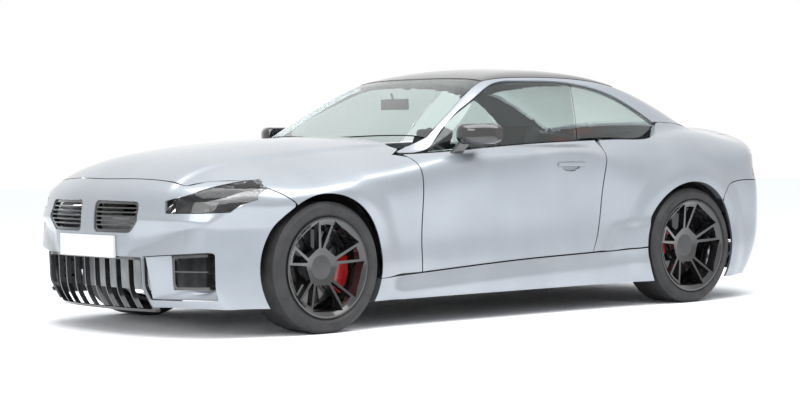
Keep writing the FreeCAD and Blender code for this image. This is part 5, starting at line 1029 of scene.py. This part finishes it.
@dataclass
class RunningGear:
    """Wheels, tyres, brakes and axles."""

    def build(self, finishes: Finishes) -> None:
        """Dress the wheels and what carries them.

        Args:
            finishes: The car's materials.
        """
        for end in ("front", "rear"):
            for side in SIDES:
                dress(f"wheel_{end}_{side}", finishes.wheel)
                dress(f"tyre_{end}_{side}", finishes.tyre)
        for side in SIDES:
            dress("knuckle_" + side, finishes.cast)
            dress("caliper_" + side, finishes.caliper)
        dress("rear_calipers", finishes.caliper)
        for node in ("front_axle", "rear_axle", "engine_block"):
            dress(node, finishes.cast)
        dress("radiator_pack", finishes.alloy)
        dress("exhaust", finishes.steel)


@dataclass
class Trim:
    """Grilles, lamps, plates and the black parts.

    Attributes:
        black: Nodes in gloss black.
        dull: Nodes in dull black plastic.
    """

    black: tuple[str, ...] = ("grilles", "rear_diffuser", "mirror_left", "mirror_right")
    dull: tuple[str, ...] = ("cowl_panel", "arch_liners", "floor_pan", "dashboard", "steering_wheel",
                             "interior_mirror")

    def build(self, finishes: Finishes) -> None:
        """Dress the trim.

        Args:
            finishes: The car's materials.
        """
        for node in self.black:
            dress(node, finishes.gloss)
        for node in self.dull:
            dress(node, finishes.plastic)
        dress("headlamps", finishes.lens)
        dress("tail_lamps", finishes.red_lens)
        dress("seats", finishes.leather)
        dress("number_plates", finishes.plate)


def seen_directly(tree: bpy.types.NodeTree) -> bpy.types.NodeSocket:
    """Tell rays that show a surface from rays that light the car.

    Args:
        tree: Node tree that gets the nodes.

    Returns:
        A socket that is one for the camera's rays and for those that metal and glass send on, else zero.
    """
    path = tree.nodes.new("ShaderNodeLightPath")
    seen = path.outputs["Is Camera Ray"]
    for kind in ("Is Glossy Ray", "Is Transmission Ray"):
        either = tree.nodes.new("ShaderNodeMath")
        either.operation = "MAXIMUM"
        tree.links.new(seen, either.inputs[0])
        tree.links.new(path.outputs[kind], either.inputs[1])
        seen = either.outputs["Value"]
    return seen


@dataclass(frozen=True)
class SoftLamp:
    """One rectangular studio lamp.

    Attributes:
        name: Its name.
        place: Where it hangs.
        aim: Point that it faces.
        size: Width and height.
        power: Watts.
    """

    name: str
    place: Place
    aim: Place
    size: tuple[float, float]
    power: float

    def build(self) -> None:
        """Hang the lamp."""
        data = bpy.data.lights.new(self.name, "AREA")
        data.shape = "RECTANGLE"
        data.size, data.size_y = self.size
        data.energy = self.power
        item = bpy.data.objects.new(self.name, data)
        item.location = self.place
        item.rotation_mode = "QUATERNION"
        item.rotation_quaternion = (Vector(self.aim) - Vector(self.place)).to_track_quat("-Z", "Y")
        bpy.context.scene.collection.objects.link(item)


@dataclass
class Studio:
    """Pale floor, soft lamps and the camera at the photograph's angle.

    Attributes:
        place: Where the camera stands.
        yaw, pitch, roll: Its turn in degrees.
        focal_share: Focal length over the picture's width.
        sensor: Width of its sensor in millimetres.
        far: Distance up to which it sees.
        floor_half: Half the floor's side.
        floor_dark, floor_light: Colours of the floor as it lights the car.
        floor_rough, floor_drift: The floor's roughness and the scale of its noise.
        floor_white: Share of light that the floor shows to the camera.
        sky: Colour of the room's light on the car.
        sky_strength: Its strength.
        lamps: The studio lamps.
    """

    place: Place = (7.816, 9.132, 0.984)
    yaw: float = -129.93
    pitch: float = -1.906
    roll: float = -0.572
    focal_share: float = 2043 / 800
    sensor: float = 36.0
    far: float = 200.0
    floor_half: float = 30.0
    floor_dark: Colour = (0.80, 0.80, 0.80)
    floor_light: Colour = (0.82, 0.82, 0.82)
    floor_rough: float = 0.6
    floor_drift: float = 0.4
    floor_white: float = 1.14
    sky: Colour = (0.93, 0.96, 1.0)
    sky_strength: float = 0.90
    lamps: tuple[SoftLamp, ...] = (
        SoftLamp("ceiling_lamp", (1.0, 1.5, 5.0), (0.0, 0.0, 0.5), (7.0, 5.0), 420.0),
        SoftLamp("front_lamp", (7.5, 3.0, 3.2), (1.5, 0.5, 0.5), (3.0, 2.0), 90.0),
    )

    def camera(self) -> None:
        """Set the camera: its axes come from the yaw, the pitch and the roll."""
        yaw, pitch, roll = (math.radians(angle) for angle in (self.yaw, self.pitch, self.roll))
        ahead = Vector((math.cos(pitch) * math.cos(yaw), math.cos(pitch) * math.sin(yaw), math.sin(pitch)))
        right = ahead.cross(Vector((0, 0, 1))).normalized()
        up = right.cross(ahead)
        level_right = math.cos(roll) * right + math.sin(roll) * up
        level_up = -math.sin(roll) * right + math.cos(roll) * up
        data = bpy.data.cameras.new("photo_camera")
        data.sensor_width = self.sensor
        data.lens = self.focal_share * self.sensor
        data.clip_end = self.far
        item = bpy.data.objects.new("photo_camera", data)
        turn = Matrix((level_right, level_up, -ahead)).transposed().to_4x4()
        item.matrix_world = Matrix.Translation(self.place) @ turn
        bpy.context.scene.collection.objects.link(item)
        bpy.context.scene.camera = item

    def floor(self) -> None:
        """Lay a large pale floor that keeps the car's shadow and shows white to the camera."""
        mesh = bpy.data.meshes.new("floor")
        half = self.floor_half
        corners = [(-half, -half, 0), (half, -half, 0), (half, half, 0), (-half, half, 0)]
        mesh.from_pydata(corners, [], [(0, 1, 2, 3)])
        item = bpy.data.objects.new("floor", mesh)
        bpy.context.scene.collection.objects.link(item)
        nodes = Nodes("studio_floor")
        nodes.vary(self.floor_drift, self.floor_dark, self.floor_light)
        nodes.set(Roughness=self.floor_rough)
        shown = nodes.add("ShaderNodeBsdfDiffuse", Color=(*(3 * [self.floor_white]), 1.0))
        mix = nodes.add("ShaderNodeMixShader")
        nodes.link(seen_directly(nodes.tree), mix.inputs["Fac"])
        nodes.link(nodes.surface.outputs["BSDF"], mix.inputs[1])
        nodes.link(shown.outputs["BSDF"], mix.inputs[2])
        nodes.link(mix.outputs["Shader"], nodes.tree.nodes["Material Output"].inputs["Surface"])
        mesh.materials.append(nodes.material)

    def world(self) -> None:
        """Set a room that shows white and lights the car a little softer."""
        world = bpy.data.worlds.new("studio")
        bpy.context.scene.world = world
        world.use_nodes = True
        tree = world.node_tree
        shown = tree.nodes["Background"]
        shown.inputs["Color"].default_value = (1, 1, 1, 1)
        shown.inputs["Strength"].default_value = 1.0
        lit = tree.nodes.new("ShaderNodeBackground")
        lit.inputs["Color"].default_value = (*self.sky, 1)
        lit.inputs["Strength"].default_value = self.sky_strength
        mix = tree.nodes.new("ShaderNodeMixShader")
        tree.links.new(seen_directly(tree), mix.inputs["Fac"])
        tree.links.new(lit.outputs["Background"], mix.inputs[1])
        tree.links.new(shown.outputs["Background"], mix.inputs[2])
        tree.links.new(mix.outputs["Shader"], tree.nodes["World Output"].inputs["Surface"])

    def build(self) -> None:
        """Set up the whole studio."""
        self.camera()
        self.floor()
        self.world()
        for lamp in self.lamps:
            lamp.build()
        bpy.context.scene.view_settings.view_transform = "Standard"


def main() -> None:
    """Dress the whole car in order, log each part as it is done, and set up the studio."""
    logging.basicConfig(level=logging.INFO, format="%(name)s: %(message)s")
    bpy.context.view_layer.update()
    finishes = Finishes()
    for part in (PaintedBody(), Glazing(), RunningGear(), Trim()):
        part.build(finishes)
        log.info("%s done", type(part).__name__)
    Studio().build()


if __name__ == "__main__":
    main()
